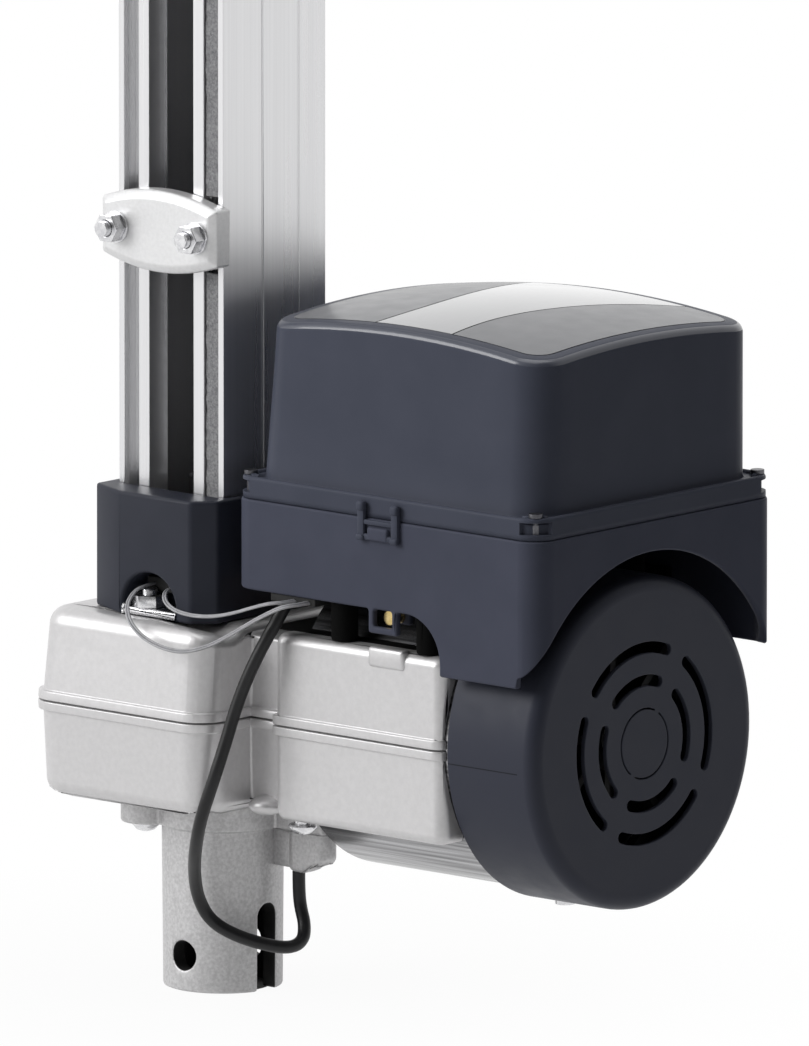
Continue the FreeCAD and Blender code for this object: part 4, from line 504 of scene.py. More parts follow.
def cover_ring(inset, corner, lean=0.0):
    """Points round the cover at that inset, with round corners; the front and left walls lean in."""
    low = [place + inset + COVER_DRAFT * lean + corner for place in COVER_LOW]
    high = [place - inset - corner for place in COVER_HIGH]
    points = []
    for step in range(4 * CORNER_STEPS):
        x, y = polar(corner, 90.0 + 90.0 * (step + 0.5) / CORNER_STEPS)
        points.append(Vector((x + (high if x > 0 else low)[0], y + (high if y > 0 else low)[1])))
    ring = []
    for step, (point, following) in enumerate(zip(points, points[1:] + points[:1])):
        ring.append(tuple(point))
        if step % CORNER_STEPS == CORNER_STEPS - 1:
            ring += [tuple(point.lerp(following, along / SIDE_STEPS)) for along in range(1, SIDE_STEPS)]
    return ring


def crown_ring(inset, corner, drop):
    """A ring at the top of the leaning walls, that far below the crown."""
    return [(x, y, crown_z(x, y) - drop) for x, y in cover_ring(WALL_INSET + inset, corner, 1.0)]


def pocketed(ring, inset, corner, depth):
    """The flange's ring with its four corners pressed in by that depth, for the screw pockets."""
    low = [place + inset + corner for place in COVER_LOW]
    high = [place - inset - corner for place in COVER_HIGH]
    pressed = []
    for x, y in ring:
        out_x, out_y = max(low[0] - x, x - high[0]), max(low[1] - y, y - high[1])
        if out_x > 0.0 and out_y > 0.0 and POCKET_ARC[0] < math.atan2(out_y, out_x) < POCKET_ARC[1]:
            x += math.copysign(depth * math.sqrt(0.5), CROWN_CENTRE[0] - x)
            y += math.copysign(depth * math.sqrt(0.5), CROWN_CENTRE[1] - y)
        pressed.append((x, y))
    return pressed


def make_cover():
    """Domed cover: lipped flange, leaning walls, rolled rim and a lowered crown for its panels."""
    rings = []
    for inset, corner, z, depth in FLANGE_RINGS:
        rings.append([(x, y, z) for x, y in pocketed(cover_ring(inset, corner), inset, corner, depth)])
    for inset, z in ((0.0047, FLANGE_TOP - 0.0008), (WALL_INSET, FLANGE_TOP)):
        rings.append([(x, y, z) for x, y in cover_ring(inset, WALL_CORNER)])
    for lean in (0.25, 0.5, 0.75):
        rings.append([(x, y, FLANGE_TOP + lean * (crown_z(x, y) - WALL_DROP - FLANGE_TOP))
                      for x, y in cover_ring(WALL_INSET, WALL_CORNER, lean)])
    for step in range(7):
        turn = math.radians(15.0 * step)
        inset = RIM_RADIUS * (1.0 - math.cos(turn))
        rings.append(crown_ring(inset, WALL_CORNER - inset, RIM_RADIUS * (1.0 - math.sin(turn))))
    for inset, drop in ((0.0063, 0.0001), (0.0066, SEAT_DROP)):
        rings.append(crown_ring(inset, SEAT_CORNER, drop))
    for inset in (0.012, 0.020, 0.030, 0.040, 0.050, 0.058):
        rings.append(crown_ring(inset, max(SEAT_CORNER - 0.15 * inset, 0.0008), SEAT_DROP))
    bm = bmesh.new()
    lofted(bm, rings, close_last=True)
    paint_second(bm, lambda place, normal: place.z > RIM_ZONE and RIM_TILT[0] < normal.z < RIM_TILT[1])
    add_piece("cover_shell", bm, "box_cover", wall=COVER_WALL, angle=38.0, more=("cover_rim",))
    for name, side in (("cover_left_panel", -1), ("cover_band_panel", 0), ("cover_right_panel", 1)):
        make_cover_panel(name, side)
    make_latch()


# depth and half the band's width there
BAND_WIDTHS = ((-0.037, 0.0205), (-0.015, 0.0182), (0.005, 0.0181), (0.028, 0.0212), (0.060, 0.0290),
               (0.0985, 0.0420))
BAND_CENTRE = 0.1150
PANEL_EDGE = 0.0118
PANEL_GAP = 0.00035
PANEL_CORNER = 0.0085
PANEL_WALL = 0.0006


def band_half_width(y):
    """Half the band's width at that depth, on a smooth curve through its measured widths."""
    last = len(BAND_WIDTHS) - 1
    here = max(index for index in range(last) if y >= BAND_WIDTHS[index][0])
    slopes = []
    for index in (here, here + 1):
        (y_a, half_a), (y_b, half_b) = BAND_WIDTHS[max(index - 1, 0)], BAND_WIDTHS[min(index + 1, last)]
        slopes.append((half_b - half_a) / (y_b - y_a))
    (y_a, half_a), (y_b, half_b) = BAND_WIDTHS[here], BAND_WIDTHS[here + 1]
    span = y_b - y_a
    part = (y - y_a) / span
    return (half_a * (1 + 2 * part) * (1 - part) ** 2 + half_b * part ** 2 * (3 - 2 * part)
            + span * (slopes[0] * part * (1 - part) ** 2 - slopes[1] * part ** 2 * (1 - part)))


def make_cover_panel(name, side):
    """A panel let into the crown: the flaring band in the middle or the field on either side."""
    x_low, y_low = (place + PANEL_EDGE + COVER_DRAFT for place in COVER_LOW)
    x_high, y_high = (place - PANEL_EDGE for place in COVER_HIGH)
    bm = bmesh.new()
    for vert in bmesh.ops.create_grid(bm, x_segments=18, y_segments=44, size=0.5)["verts"]:
        u, v = vert.co.x + 0.5, 0.5 - 0.5 * math.cos(math.pi * (vert.co.y + 0.5))
        y = y_low + v * (y_high - y_low)
        half = band_half_width(y)
        near_end = min(y - y_low, y_high - y)
        pull = 0.0
        if near_end < PANEL_CORNER:
            pull = PANEL_CORNER - math.sqrt(PANEL_CORNER ** 2 - (PANEL_CORNER - near_end) ** 2)
        left, right = BAND_CENTRE - half + PANEL_GAP, BAND_CENTRE + half - PANEL_GAP
        if side < 0:
            left, right = x_low + pull, BAND_CENTRE - half - PANEL_GAP
        if side > 0:
            left, right = BAND_CENTRE + half + PANEL_GAP, x_high - pull
        x = left + u * (right - left)
        vert.co = (x, y, crown_z(x, y))
    drawn = bmesh.ops.extrude_edge_only(bm, edges=[edge for edge in bm.edges if edge.is_boundary])
    bmesh.ops.translate(bm, vec=(0, 0, -PANEL_WALL), verts=fresh_verts(drawn))
    face_out(bm)
    add_detail(name, bm, "cover_plastic", "cover", angle=40.0, look="cover_field" if side else "cover_band")


LATCH_X = (0.1010, 0.1210)
LATCH_FRONT = -0.0389
LATCH_BACK = -0.0366
LATCH_POST = 0.0034


def make_latch():
    """Snap latch at the front of the flange: two hooked uprights, a cross bar and its pin."""
    bm = bmesh.new()
    left, right = LATCH_X
    for x in (left, right - LATCH_POST):
        for spread, out, low, high, bevel, segments in ((0.0, 0.0, 0.1726, 0.1846, 0.0008, 2),
                                                        (0.0002, 0.0007, 0.1826, 0.1864, 0.0012, 3),
                                                        (0.0002, 0.0007, 0.1716, 0.1742, 0.0010, 3)):
            add_block(bm, (x - spread, LATCH_FRONT - out, low), (x + LATCH_POST + spread, LATCH_BACK, high),
                      bevel, segments)
    for back, low, high, bevel in ((0.0002, 0.1720, 0.1744, 0.0007), (0.0004, 0.1778, 0.1796, 0.0005)):
        add_block(bm, (left + 0.001, LATCH_FRONT + back, low), (right - 0.001, LATCH_BACK, high), bevel)
    add_detail("cover_latch", bm, "cover_plastic", "cover", angle=40.0)


SOFT_EDGES = (
    ("stop_bolts", 0.0003), ("carriage_block", 0.0008), ("carriage_bracket", 0.0006), ("carriage_bolts", 0.0003),
    ("stop_nuts", 0.0004), ("stop_washers", 0.0002), ("cap_screws", 0.0003), ("rail_top_cap", 0.0008),
    ("top_bearing_block", 0.0006), ("fan_cover_screws", 0.0003), ("earth_terminal", 0.0002),
    ("motor_barrel", 0.0006), ("cable_gland", 0.0004), ("wire_grommet", 0.0003), ("relays", 0.0004),
    ("cover_screws", 0.0002),
)


def soften_plain_nodes():
    """The nodes whose shape is already right, with their sharp edges rounded."""
    for node, radius in SOFT_EDGES:
        add_piece(node + "_rounded", node_shape(node), node, edge=radius)


CASE_SEAM = 0.096
CASE_HALF_HEIGHT = 0.0345
CASE_ROUNDING = 0.0011
LOBE_CENTRE = (-0.005, 0.001)
LOBE_HALF = (0.0435, 0.0545)
LOBE_RIGHT = 0.039
UPPER_LEAN = 0.0024
LOWER_LEAN = 0.0012
RIDGE_START = Vector((0.0024, -0.0430))
RIDGE_END = Vector((0.0336, -0.0530))
DIP_SLOPE = 0.26
DIP_DEPTH = 0.0036
DIP_TOP = 0.1170
DIP_HEIGHT = 0.0136
DIP_LEFT = -0.002
DIP_BACK = -0.0305
DIP_FADE = 0.006


def sink_dip(bm):
    """Lowers the lobe's top behind the slanting ridge at its right-hand front corner."""
    for step in range(10):
        cut(bm, (RIDGE_START.x + 0.0038 * step, 0, 0), (1, 0, 0))
    for step in range(7):
        cut(bm, (0, -0.0510 + 0.0034 * step, 0), (0, 1, 0))
    along = (RIDGE_END - RIDGE_START).normalized()
    across = Vector((-along.y, along.x))
    for vert in bm.verts:
        if vert.co.z < DIP_TOP or not DIP_LEFT < vert.co.x < LOBE_RIGHT or vert.co.y > DIP_BACK:
            continue
        beyond = max((vert.co.xy - RIDGE_START).dot(across), 0.0)
        fade = min(max((DIP_BACK - vert.co.y) / DIP_FADE, 0.0), 1.0)
        vert.co.z -= min(DIP_SLOPE * beyond, DIP_DEPTH) * fade * (vert.co.z - DIP_TOP) / DIP_HEIGHT


FLANGE_REACH = 0.0056
FLANGE_ROUNDING = 0.4


def weigh_edges(bm):
    """Full rounding on the casting's sharp edges, less along the flange at its seam."""
    weight = bm.edges.layers.float.new("bevel_weight_edge")
    for edge in bm.edges:
        sharp = len(edge.link_faces) == 2 and edge.calc_face_angle() > math.radians(SHARP_ANGLE)
        at_flange = max(abs(vert.co.z - CASE_SEAM) for vert in edge.verts) < FLANGE_REACH
        edge[weight] = (FLANGE_ROUNDING if at_flange else 1.0) if sharp else 0.0


BOSS_CENTRE = (0.0458, -0.0266, 0.0634)
BOSS_RADIUS = 0.0068
BOSS_FLATNESS = 0.55
SEAM_LUG = ((0.0345, -0.0286), (0.0570, -0.0240))
CASE_LEDGE = ((0.1030, -0.0352, 0.1238), (0.1205, -0.0300, 0.1315))


def make_gear_case():
    """Both halves of the casting: the lobe's walls lean in from the seam, and all edges are round."""
    for node in ("upper_case", "lower_case"):
        bm = node_shape(node)
        if node == "upper_case":
            sink_dip(bm)
        for vert in bm.verts:
            if vert.co.x > LOBE_RIGHT:
                continue
            most = UPPER_LEAN if vert.co.z > CASE_SEAM else LOWER_LEAN
            lean = most * min(abs(vert.co.z - CASE_SEAM) / CASE_HALF_HEIGHT, 1.0)
            reach_x = abs(vert.co.x - LOBE_CENTRE[0]) / LOBE_HALF[0]
            reach_y = abs(vert.co.y - LOBE_CENTRE[1]) / LOBE_HALF[1]
            if vert.co.x < LOBE_CENTRE[0]:
                vert.co.x += lean * reach_x
            vert.co.y -= math.copysign(lean * reach_y, vert.co.y - LOBE_CENTRE[1])
        weigh_edges(bm)
        add_piece(node + "_casting", bm, node, edge=CASE_ROUNDING, weighted=True)
    bm = bmesh.new()
    dome = bmesh.ops.create_uvsphere(bm, u_segments=28, v_segments=14, radius=BOSS_RADIUS)["verts"]
    bmesh.ops.scale(bm, vec=(1.0, 1.0, BOSS_FLATNESS), verts=dome)
    bmesh.ops.translate(bm, vec=BOSS_CENTRE, verts=dome)
    for low, high in ((0.0923, 0.0957), (0.0963, 0.0997)):
        add_block(bm, (*SEAM_LUG[0], low), (*SEAM_LUG[1], high), 0.0009)
    add_block(bm, *CASE_LEDGE, 0.0014, 3)
    add_detail("case_bosses", bm, "cast_aluminium")


FOOT_BORE = 0.0164
FOOT_INSIDE = 0.0221
FOOT_ENDS = (-0.0134, 0.047)
SLOT_HALF = 0.0048
SLOT_TOP = 0.0196
CROSS_HOLE = 0.0056
# a black sheet part way round the bore, standing for the shade there: painted shade
SHADE_SHEET_RADIUS = 0.0155
SHADE_SHEET_ENDS = (-0.0128, 0.0395)
SHADE_SHEET_ARC = 120.0
SENSOR_SLOPE_START = 0.0365
SENSOR_SLOPE = 0.40
SENSOR_SOLE = 0.004
WEB_LEFT = 0.0195
WEB_INSET = 0.0012
# radius and depth below the seat
PAN_HEAD = ((0.0, 0.0040), (0.0018, 0.0039), (0.0036, 0.0032), (0.0046, 0.0020), (0.0053, 0.0013),
            (0.0054, 0.0006), (0.0050, 0.0), (0.0030, 0.0))
PAN_SHANK = 0.0030
PAN_EDGE = 0.0050
FRONT_SCREW = ((0.0533, -0.0151), 0.0556, 0.0606)


def inside_foot(place):
    """True where a face belongs to the bore, a side slot or the cross hole."""
    out = math.hypot(place.x, place.y)
    if not FOOT_ENDS[0] <= place.z <= FOOT_ENDS[1] or out > FOOT_INSIDE:
        return False
    in_slot = abs(place.y) < SLOT_HALF and place.z < SLOT_TOP
    return out < FOOT_BORE or in_slot or math.hypot(place.x, place.z) < CROSS_HOLE


def pan_head(bm, centre, seat, top):
    """A screw hanging from its seat: domed flanged head and shank."""
    profile = [(radius, seat - below) for radius, below in PAN_HEAD] + [(PAN_SHANK, top), (0.0, top)]
    spun(bm, [(centre[0] + radius, centre[1], z) for radius, z in profile], (*centre, 0.0), (0, 0, 1), 32)


def make_foot():
    """The foot casting, painted black as shade inside its bore, slots and cross hole, with a black sheet for more
    shade in the bore, and the sensor housing joined to it.
    """
    bm = node_shape("foot_tube")
    # painted shade: the faces inside the bore, side slots and cross hole take the black second finish
    paint_second(bm, lambda place, normal: inside_foot(place))
    add_piece("foot_casting", bm, "foot_tube", edge=0.0010, more=("black_rubber",), look="foot_casting")
    # painted shade: a thin black sheet in the bore, where there is only shade
    bm = bmesh.new()
    spun(bm, [(*polar(SHADE_SHEET_RADIUS, SHADE_SHEET_ARC), z) for z in SHADE_SHEET_ENDS], (0, 0, 0), (0, 0, 1), 20,
         math.radians(SHADE_SHEET_ARC))
    face_out(bm)
    add_detail("foot_bore_shade_sheet", bm, "black_rubber", wall=0.0004)

    bm = node_shape("limit_sensor")
    low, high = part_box("limit_sensor")
    cut(bm, (SENSOR_SLOPE_START, 0, 0), (1, 0, 0))
    for vert in bm.verts:
        if vert.co.z < low[2] + SENSOR_SOLE:
            vert.co.z += SENSOR_SLOPE * max(vert.co.x - SENSOR_SLOPE_START, 0.0)
    add_piece("sensor_housing", bm, "limit_sensor", edge=0.0008, look="foot_casting")
    bm = bmesh.new()
    add_block(bm, (WEB_LEFT, low[1] + WEB_INSET, low[2] + WEB_INSET), (low[0] + 0.0030, high[1] - WEB_INSET, high[2]),
              0.0016, 3)
    add_detail("sensor_web", bm, "cast_aluminium", look="foot_casting")

    bm = bmesh.new()
    low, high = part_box("foot_screws")
    for x, y in ((low[0] + PAN_EDGE, low[1] + PAN_EDGE), (high[0] - PAN_EDGE, high[1] - PAN_EDGE)):
        pan_head(bm, (x, y), low[2] + PAN_HEAD[0][1], high[2])
    face_out(bm)
    add_piece("foot_pan_screws", bm, "foot_screws", angle=40.0)
    bm = bmesh.new()
    pan_head(bm, *FRONT_SCREW)
    face_out(bm)
    add_detail("case_front_screw", bm, "zinc_steel", angle=40.0)


SCREW_HEAD_EDGE = 0.0012
SCREW_SUNK = 0.0024


def make_case_screws():
    """The case screws, sunk a little deeper than their recesses need."""
    bm = node_shape("case_screws")
    low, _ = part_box("case_screws")
    for vert in bm.verts:
        if vert.co.z < low[2] + SCREW_HEAD_EDGE:
            vert.co.z += SCREW_SUNK
    add_piece("case_screws_sunk", bm, "case_screws", edge=0.0003)


COLLAR_TAB = (-0.0125, 0.0065)
TAB_BACK = -0.0310
TAB_TOP = 0.1342
COLLAR_NUT_X = -0.0030
COLLAR_NUT_Y = (-0.0370, 0.0385)
COLLAR_NUT_SEAT = 0.1340
COLLAR_NUT_RADIUS = 0.0070
COLLAR_NUT_HEIGHT = 0.0046
COLLAR_BOLT_TOP = 0.1408
POST_SPOTS = [(x, y) for x in (0.086, 0.128) for y in (-0.0284, 0.0844)]
POST_RADIUS = 0.0054
POST_TOP = 0.1600
BASE_MIDDLE = (0.028, 0.064)
# black sheets on the case top and at the back under the base, standing for the shade there: painted shade
SHADE_PADS = (((0.0470, -0.0262, 0.1303), (0.1310, 0.0800, 0.1310), 0.0003),
             ((0.0500, 0.0925, 0.1405), (0.1385, 0.0957, 0.1475), 0.0006))


def make_collar_and_base():
    """Rail collar with its bright foot tab and nuts, and the base with its posts painted black and black sheets laid
    in the shade beneath it, as painted shade.
    """
    bm = node_shape("rail_collar")
    paint_second(bm, lambda place, normal: COLLAR_TAB[0] < place.x < COLLAR_TAB[1] and place.y < TAB_BACK
                 and place.z < TAB_TOP and normal.z > -0.9)
    add_piece("rail_collar_rounded", bm, "rail_collar", edge=0.0013, more=("zinc_steel",))

    low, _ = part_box("collar_bolts")
    bm = bmesh.new()
    for y in COLLAR_NUT_Y:
        add_rod(bm, (COLLAR_NUT_X, y, low[2]), (COLLAR_NUT_X, y, COLLAR_BOLT_TOP), 0.0030, 24, 0.0006)
        nut = bmesh.ops.create_cone(bm, cap_ends=True, segments=6, radius1=COLLAR_NUT_RADIUS,
                                    radius2=COLLAR_NUT_RADIUS, depth=COLLAR_NUT_HEIGHT)["verts"]
        bmesh.ops.translate(bm, verts=nut, vec=(COLLAR_NUT_X, y, COLLAR_NUT_SEAT + COLLAR_NUT_HEIGHT / 2))
        round_edges(bm, list({edge for vert in nut for edge in vert.link_edges}), 0.0004, 2)
    add_piece("collar_nuts", bm, "collar_bolts", angle=30.0)

    bm = node_shape("box_base")
    # painted shade: the posts under the base take the flat black second finish
    paint_second(bm, lambda place, normal: place.z < POST_TOP and abs(place.y - BASE_MIDDLE[0]) < BASE_MIDDLE[1]
                 and min(math.hypot(place.x - x, place.y - y) for x, y in POST_SPOTS) < POST_RADIUS)
    add_piece("box_base_rounded", bm, "box_base", edge=0.0009, more=("painted_shade_black",))
    bm = bmesh.new()
    # painted shade: black sheets laid where there is only shade under the base
    for low, high, bevel in SHADE_PADS:
        add_block(bm, low, high, bevel)
    add_detail("base_shade_pads", bm, "black_rubber", look="painted_shade_black")


STOP_BEVEL = 0.0030
STOP_FACE_STEP = 0.0021
STOP_BOW = 0.0050
STOP_BACK_GAP = 0.0003
STOP_STEPS = 12


def stop_ring(low, high, inset, y):
    """Points round the stop plate: a bowed line along its top and its bottom, straight ends."""
    half, tall = (high[0] - low[0]) / 2, (high[2] - low[2]) / 2
    bow = (half ** 2 + STOP_BOW ** 2) / (2 * STOP_BOW)
    middle = ((low[0] + high[0]) / 2, (low[2] + high[2]) / 2)
    ring = []
    for way in (1, -1):
        for step in range(2 * STOP_STEPS + 1):
            x = way * (half - inset) * (1 - step / STOP_STEPS)
            z = math.sqrt((bow - inset) ** 2 - x ** 2) - (bow - tall)
            ring.append((middle[0] + x, y, middle[1] + way * z))
    return ring


def make_stop():
    """The stop plate with a broad bevel round its face and a low lip at both ends, square on the rail."""
    low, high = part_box("stop_plate")
    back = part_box("rail")[0][1] - STOP_BACK_GAP
    rings = [stop_ring(low, high, inset, y) for inset, y in (
        (0.0, back), (0.0, low[1] + STOP_FACE_STEP), (STOP_BEVEL, low[1]))]
    rings[0] = [(x, high[1] if min(x - low[0], high[0] - x) < 0.0001 else y, z) for x, y, z in rings[0]]
    bm = bmesh.new()
    lofted(bm, rings, close_first=True, close_last=True)
    add_piece("stop_plate_bevelled", bm, "stop_plate", edge=0.0007, angle=20.0)


SPINDLE_LEAD = 0.024
THREAD_STARTS = 4
THREAD_DEPTH = 0.0011
THREAD_FLANK = 0.0017
THREAD_END = 0.002
STEPS_PER_TURN = 20


def make_spindle():
    """The spindle with its steep four-start thread, each start a bar drawn out along a helix."""
    low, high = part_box("spindle")
    radius = min(high[0] - low[0], high[1] - low[1]) / 2
    bm = bmesh.new()
    lofted(bm, [[(*polar(radius - THREAD_DEPTH, 15 * step), z) for step in range(24)] for z in (low[2], high[2])],
           close_first=True, close_last=True)
    turns = (high[2] - low[2] - 2 * THREAD_END) / SPINDLE_LEAD
    steps = int(turns * STEPS_PER_TURN)
    root = radius - 2 * THREAD_DEPTH
    profile = ((root, -THREAD_FLANK), (radius, -0.6 * THREAD_FLANK), (radius, 0.6 * THREAD_FLANK),
               (root, THREAD_FLANK))
    for start in range(THREAD_STARTS):
        places = [(*polar(out, 360.0 / THREAD_STARTS * start), low[2] + THREAD_END + rise) for out, rise in profile]
        spun(bm, places, (0, 0, 0), (0, 0, 1), steps, 2 * math.pi * turns, closed=True,
             dvec=(0, 0, SPINDLE_LEAD * turns / steps))
    face_out(bm)
    add_piece("threaded_spindle", bm, "spindle", angle=35.0)


FLANK_LINE = -0.0062
LINE_HALF = 0.00022
LINE_END = 0.0005
CHAMBER_SIDE = 0.0240
CHAMBER_FRONT = -0.0185
CHAMBER_BACK = 0.0262


def make_rail():
    """The rail, with painted shade (a darker colour) inside its chamber, and the fine raised line that the die leaves
    along both flanks.
    """
    bm = node_shape("rail")
    # painted shade: the chamber's upright faces take the darker inside finish
    paint_second(bm, lambda place, normal: abs(place.x) < CHAMBER_SIDE and CHAMBER_FRONT < place.y < CHAMBER_BACK
                 and abs(normal.z) < 0.5)
    add_piece("rail_rounded", bm, "rail", edge=0.0003, more=("rail_inside_painted_shade",))
    low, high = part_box("rail")
    bm = bmesh.new()
    for x in (low[0], high[0]):
        add_block(bm, (x - LINE_HALF, FLANK_LINE - LINE_HALF, low[2] + LINE_END),
                  (x + LINE_HALF, FLANK_LINE + LINE_HALF, high[2] - LINE_END), 0.00012)
    add_detail("rail_die_lines", bm, "rail_aluminium")


NAP_STEP = 0.0022
NAP_DEPTH = 0.0005
NAP_SIDE = 0.00035


def make_felt():
    """Felt strips in the rail's grooves, with a loose uneven nap."""
    bm = node_shape("felt_strips")
    low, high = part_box("felt_strips")
    z = low[2] + NAP_STEP
    while z < high[2]:
        cut(bm, (0, 0, z), (0, 0, 1))
        z += NAP_STEP
    for vert in bm.verts:
        if vert.co.y < (low[1] + high[1]) / 2:
            vert.co.y += NAP_DEPTH * (noise.noise(vert.co * 420.0) + 0.6)
            vert.co.x += NAP_SIDE * noise.noise(vert.co * 300.0 + Vector((7.0, 3.0, 1.0)))
    add_piece("felt_nap", bm, "felt_strips", angle=60.0)


FAN_AXIS = (0.028, 0.096)
FAN_DRUM = (0.1420, 0.1840)
FAN_RADIUS = 0.0625
FAN_RIM = 0.0056
FAN_WALL = 0.0020
FACE_BEVEL = 0.0003
# radius, half width, start and sweep of each slot in the fan's face
VENTS = [(radius, 0.00245, start + 90.0 * quarter, sweep)
         for radius, start, sweep in ((0.0359, 69.5, 70.5), (0.0236, 71.0, 62.0)) for quarter in range(4)]
VENTS += [(0.0131, 0.0006, start, 166.0) for start in (66.0, 246.0)]
VENT_STEPS = 24


def slot_points(radius, half_width, start, sweep):
    """A closed line round a curved slot with round ends; start and sweep are in degrees."""
    outer = [polar(radius + half_width, start + sweep * step / VENT_STEPS) for step in range(VENT_STEPS + 1)]
    inner = [polar(radius - half_width, start + sweep * (1 - step / VENT_STEPS)) for step in range(VENT_STEPS + 1)]
    ends = []
    for end, swing in ((start + sweep, 0.0), (start, 180.0)):
        x, y = polar(radius, end)
        turns = [polar(half_width, end + swing + 22.5 * step) for step in range(1, 8)]
        ends.append([(x + across, y + up) for across, up in turns])
    return outer + ends[0] + inner + ends[1]


def draw_outline(curve, points):
    spline = curve.splines.new("POLY")
    spline.points.add(len(points) - 1)
    for point, (a, b) in zip(spline.points, points):
        point.co = (a, b, 0.0, 1.0)
    spline.use_cyclic_u = True


def drawn_mesh(name, curve):
    """The curve's mesh, made through an object that is gone afterwards."""
    holder = new_object(name, curve)
    mesh = bpy.data.meshes.new_from_object(holder.evaluated_get(bpy.context.evaluated_depsgraph_get()))
    bpy.data.objects.remove(holder)
    return mesh


def rim_arc(right, radius, rim, steps):
    """Points of a rolled rim, from the drum's side round to its face."""
    arc = []
    for step in steps:
        turn = math.radians(7.5 * step)
        arc.append((right - rim * (1 - math.sin(turn)), radius - rim * (1 - math.cos(turn))))
    return arc


def make_fan_cover():
    """Fan cover: a drum with a rolled rim round the motor's axis, and a face plate with curved vents."""
    left, right = FAN_DRUM
    plate_radius = FAN_RADIUS - FAN_RIM
    curve = bpy.data.curves.new("fan_face", "CURVE")
    curve.dimensions = "2D"
    curve.fill_mode = "BOTH"
    curve.extrude = FAN_WALL / 2 - FACE_BEVEL
    curve.bevel_depth = FACE_BEVEL
    curve.bevel_resolution = 1
    draw_outline(curve, [polar(plate_radius, 3 * step) for step in range(120)])
    for vent in VENTS:
        draw_outline(curve, slot_points(*vent))
    plate = drawn_mesh("fan_face", curve)
    bm = bmesh.new()
    bm.from_mesh(plate)
    bpy.data.meshes.remove(plate)
    bmesh.ops.remove_doubles(bm, verts=bm.verts, dist=SPIN_MERGE)
    upright = Matrix(((0, 0, 1), (1, 0, 0), (0, 1, 0)))
    bmesh.ops.transform(bm, matrix=upright.to_4x4(), verts=bm.verts)
    bmesh.ops.translate(bm, verts=bm.verts, vec=(right - FAN_WALL / 2, *FAN_AXIS))

    profile = [(left, FAN_RADIUS), (right - FAN_RIM, FAN_RADIUS)]
    profile += rim_arc(right, FAN_RADIUS, FAN_RIM, range(1, 13))
    profile.append((right - FAN_WALL, plate_radius))
    profile += rim_arc(right - FAN_WALL, FAN_RADIUS - FAN_WALL, FAN_RIM - FAN_WALL, range(12, -1, -1))
    profile.append((left, FAN_RADIUS - FAN_WALL))
    spun(bm, [(x, FAN_AXIS[0] + radius, FAN_AXIS[1]) for x, radius in profile], (0.0, *FAN_AXIS), (1, 0, 0), 120,
         closed=True)
    face_out(bm)
    add_piece("fan_cover_drum", bm, "fan_cover", angle=11.0)


BARREL_PLATE_TOP = 0.0640
BARREL_PLATE_GAP = 0.0040
BARREL_PLATE_INSET = 0.0008
BARREL_PLATE_WALL = 0.0015


def make_barrel_plate():
    """Plate that closes the motor barrel's inner end where it hangs below the gear case."""
    low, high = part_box("motor_barrel")
    bm = bmesh.new()
    disc = bmesh.ops.create_circle(bm, cap_ends=True, segments=72,
                                   radius=(high[2] - low[2]) / 2 - BARREL_PLATE_GAP)["verts"]
    bmesh.ops.rotate(bm, verts=disc, cent=(0, 0, 0), matrix=Matrix.Rotation(math.pi / 2, 3, "Y"))
    bmesh.ops.translate(bm, verts=disc, vec=(low[0] + BARREL_PLATE_INSET, *FAN_AXIS))
    cut(bm, (0, 0, BARREL_PLATE_TOP), (0, 0, 1), clear_outer=True)
    drawn = bmesh.ops.extrude_face_region(bm, geom=bm.faces[:])
    bmesh.ops.translate(bm, vec=(BARREL_PLATE_WALL, 0, 0), verts=fresh_verts(drawn))
    face_out(bm)
    add_detail("barrel_end_plate", bm, "cast_aluminium", edge=0.0004)


CORE_SHEETS = 16
CORE_DEPTH = 0.022
SHEET_SHARE = 0.86
WINDING_INSET = (0.009, 0.0055)
CAN_NECK = 0.004
TAB_OFFSET = 0.006
TERMINALS = 13
# place as a share of the board, then length, width and height
BOARD_CHIPS = ((0.30, 0.52, 0.018, 0.009, 0.003), (0.52, 0.72, 0.012, 0.012, 0.002),
               (0.50, 0.20, 0.010, 0.006, 0.004), (0.56, 0.34, 0.007, 0.007, 0.008),
               (0.12, 0.56, 0.006, 0.006, 0.010), (0.60, 0.88, 0.016, 0.005, 0.005),
               (0.54, 0.55, 0.008, 0.004, 0.003))


def make_transformer():
    """Core of thin sheets, with the winding and its bobbin."""
    low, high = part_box("transformer")
    bm = bmesh.new()
    pitch = CORE_DEPTH / CORE_SHEETS
    for sheet in range(CORE_SHEETS):
        y = (low[1] + high[1]) / 2 - CORE_DEPTH / 2 + sheet * pitch
        add_block(bm, (low[0], y, low[2]), (high[0], y + SHEET_SHARE * pitch, high[2]))
    add_piece("transformer_core_sheets", bm, "transformer")
    bm = bmesh.new()
    side, end = WINDING_INSET
    add_block(bm, (low[0] + side, low[1], low[2] + end), (high[0] - side, high[1], high[2] - end), 0.005, 4)
    add_detail("transformer_winding", bm, "copper_wire")
    bm = bmesh.new()
    for z in (low[2] + 0.0035, high[2] - 0.0055):
        add_block(bm, (low[0] + 0.007, low[1] - 0.0002, z), (high[0] - 0.007, high[1] + 0.0002, z + 0.002), 0.0006)
    add_detail("transformer_bobbin", bm, "white_plastic")


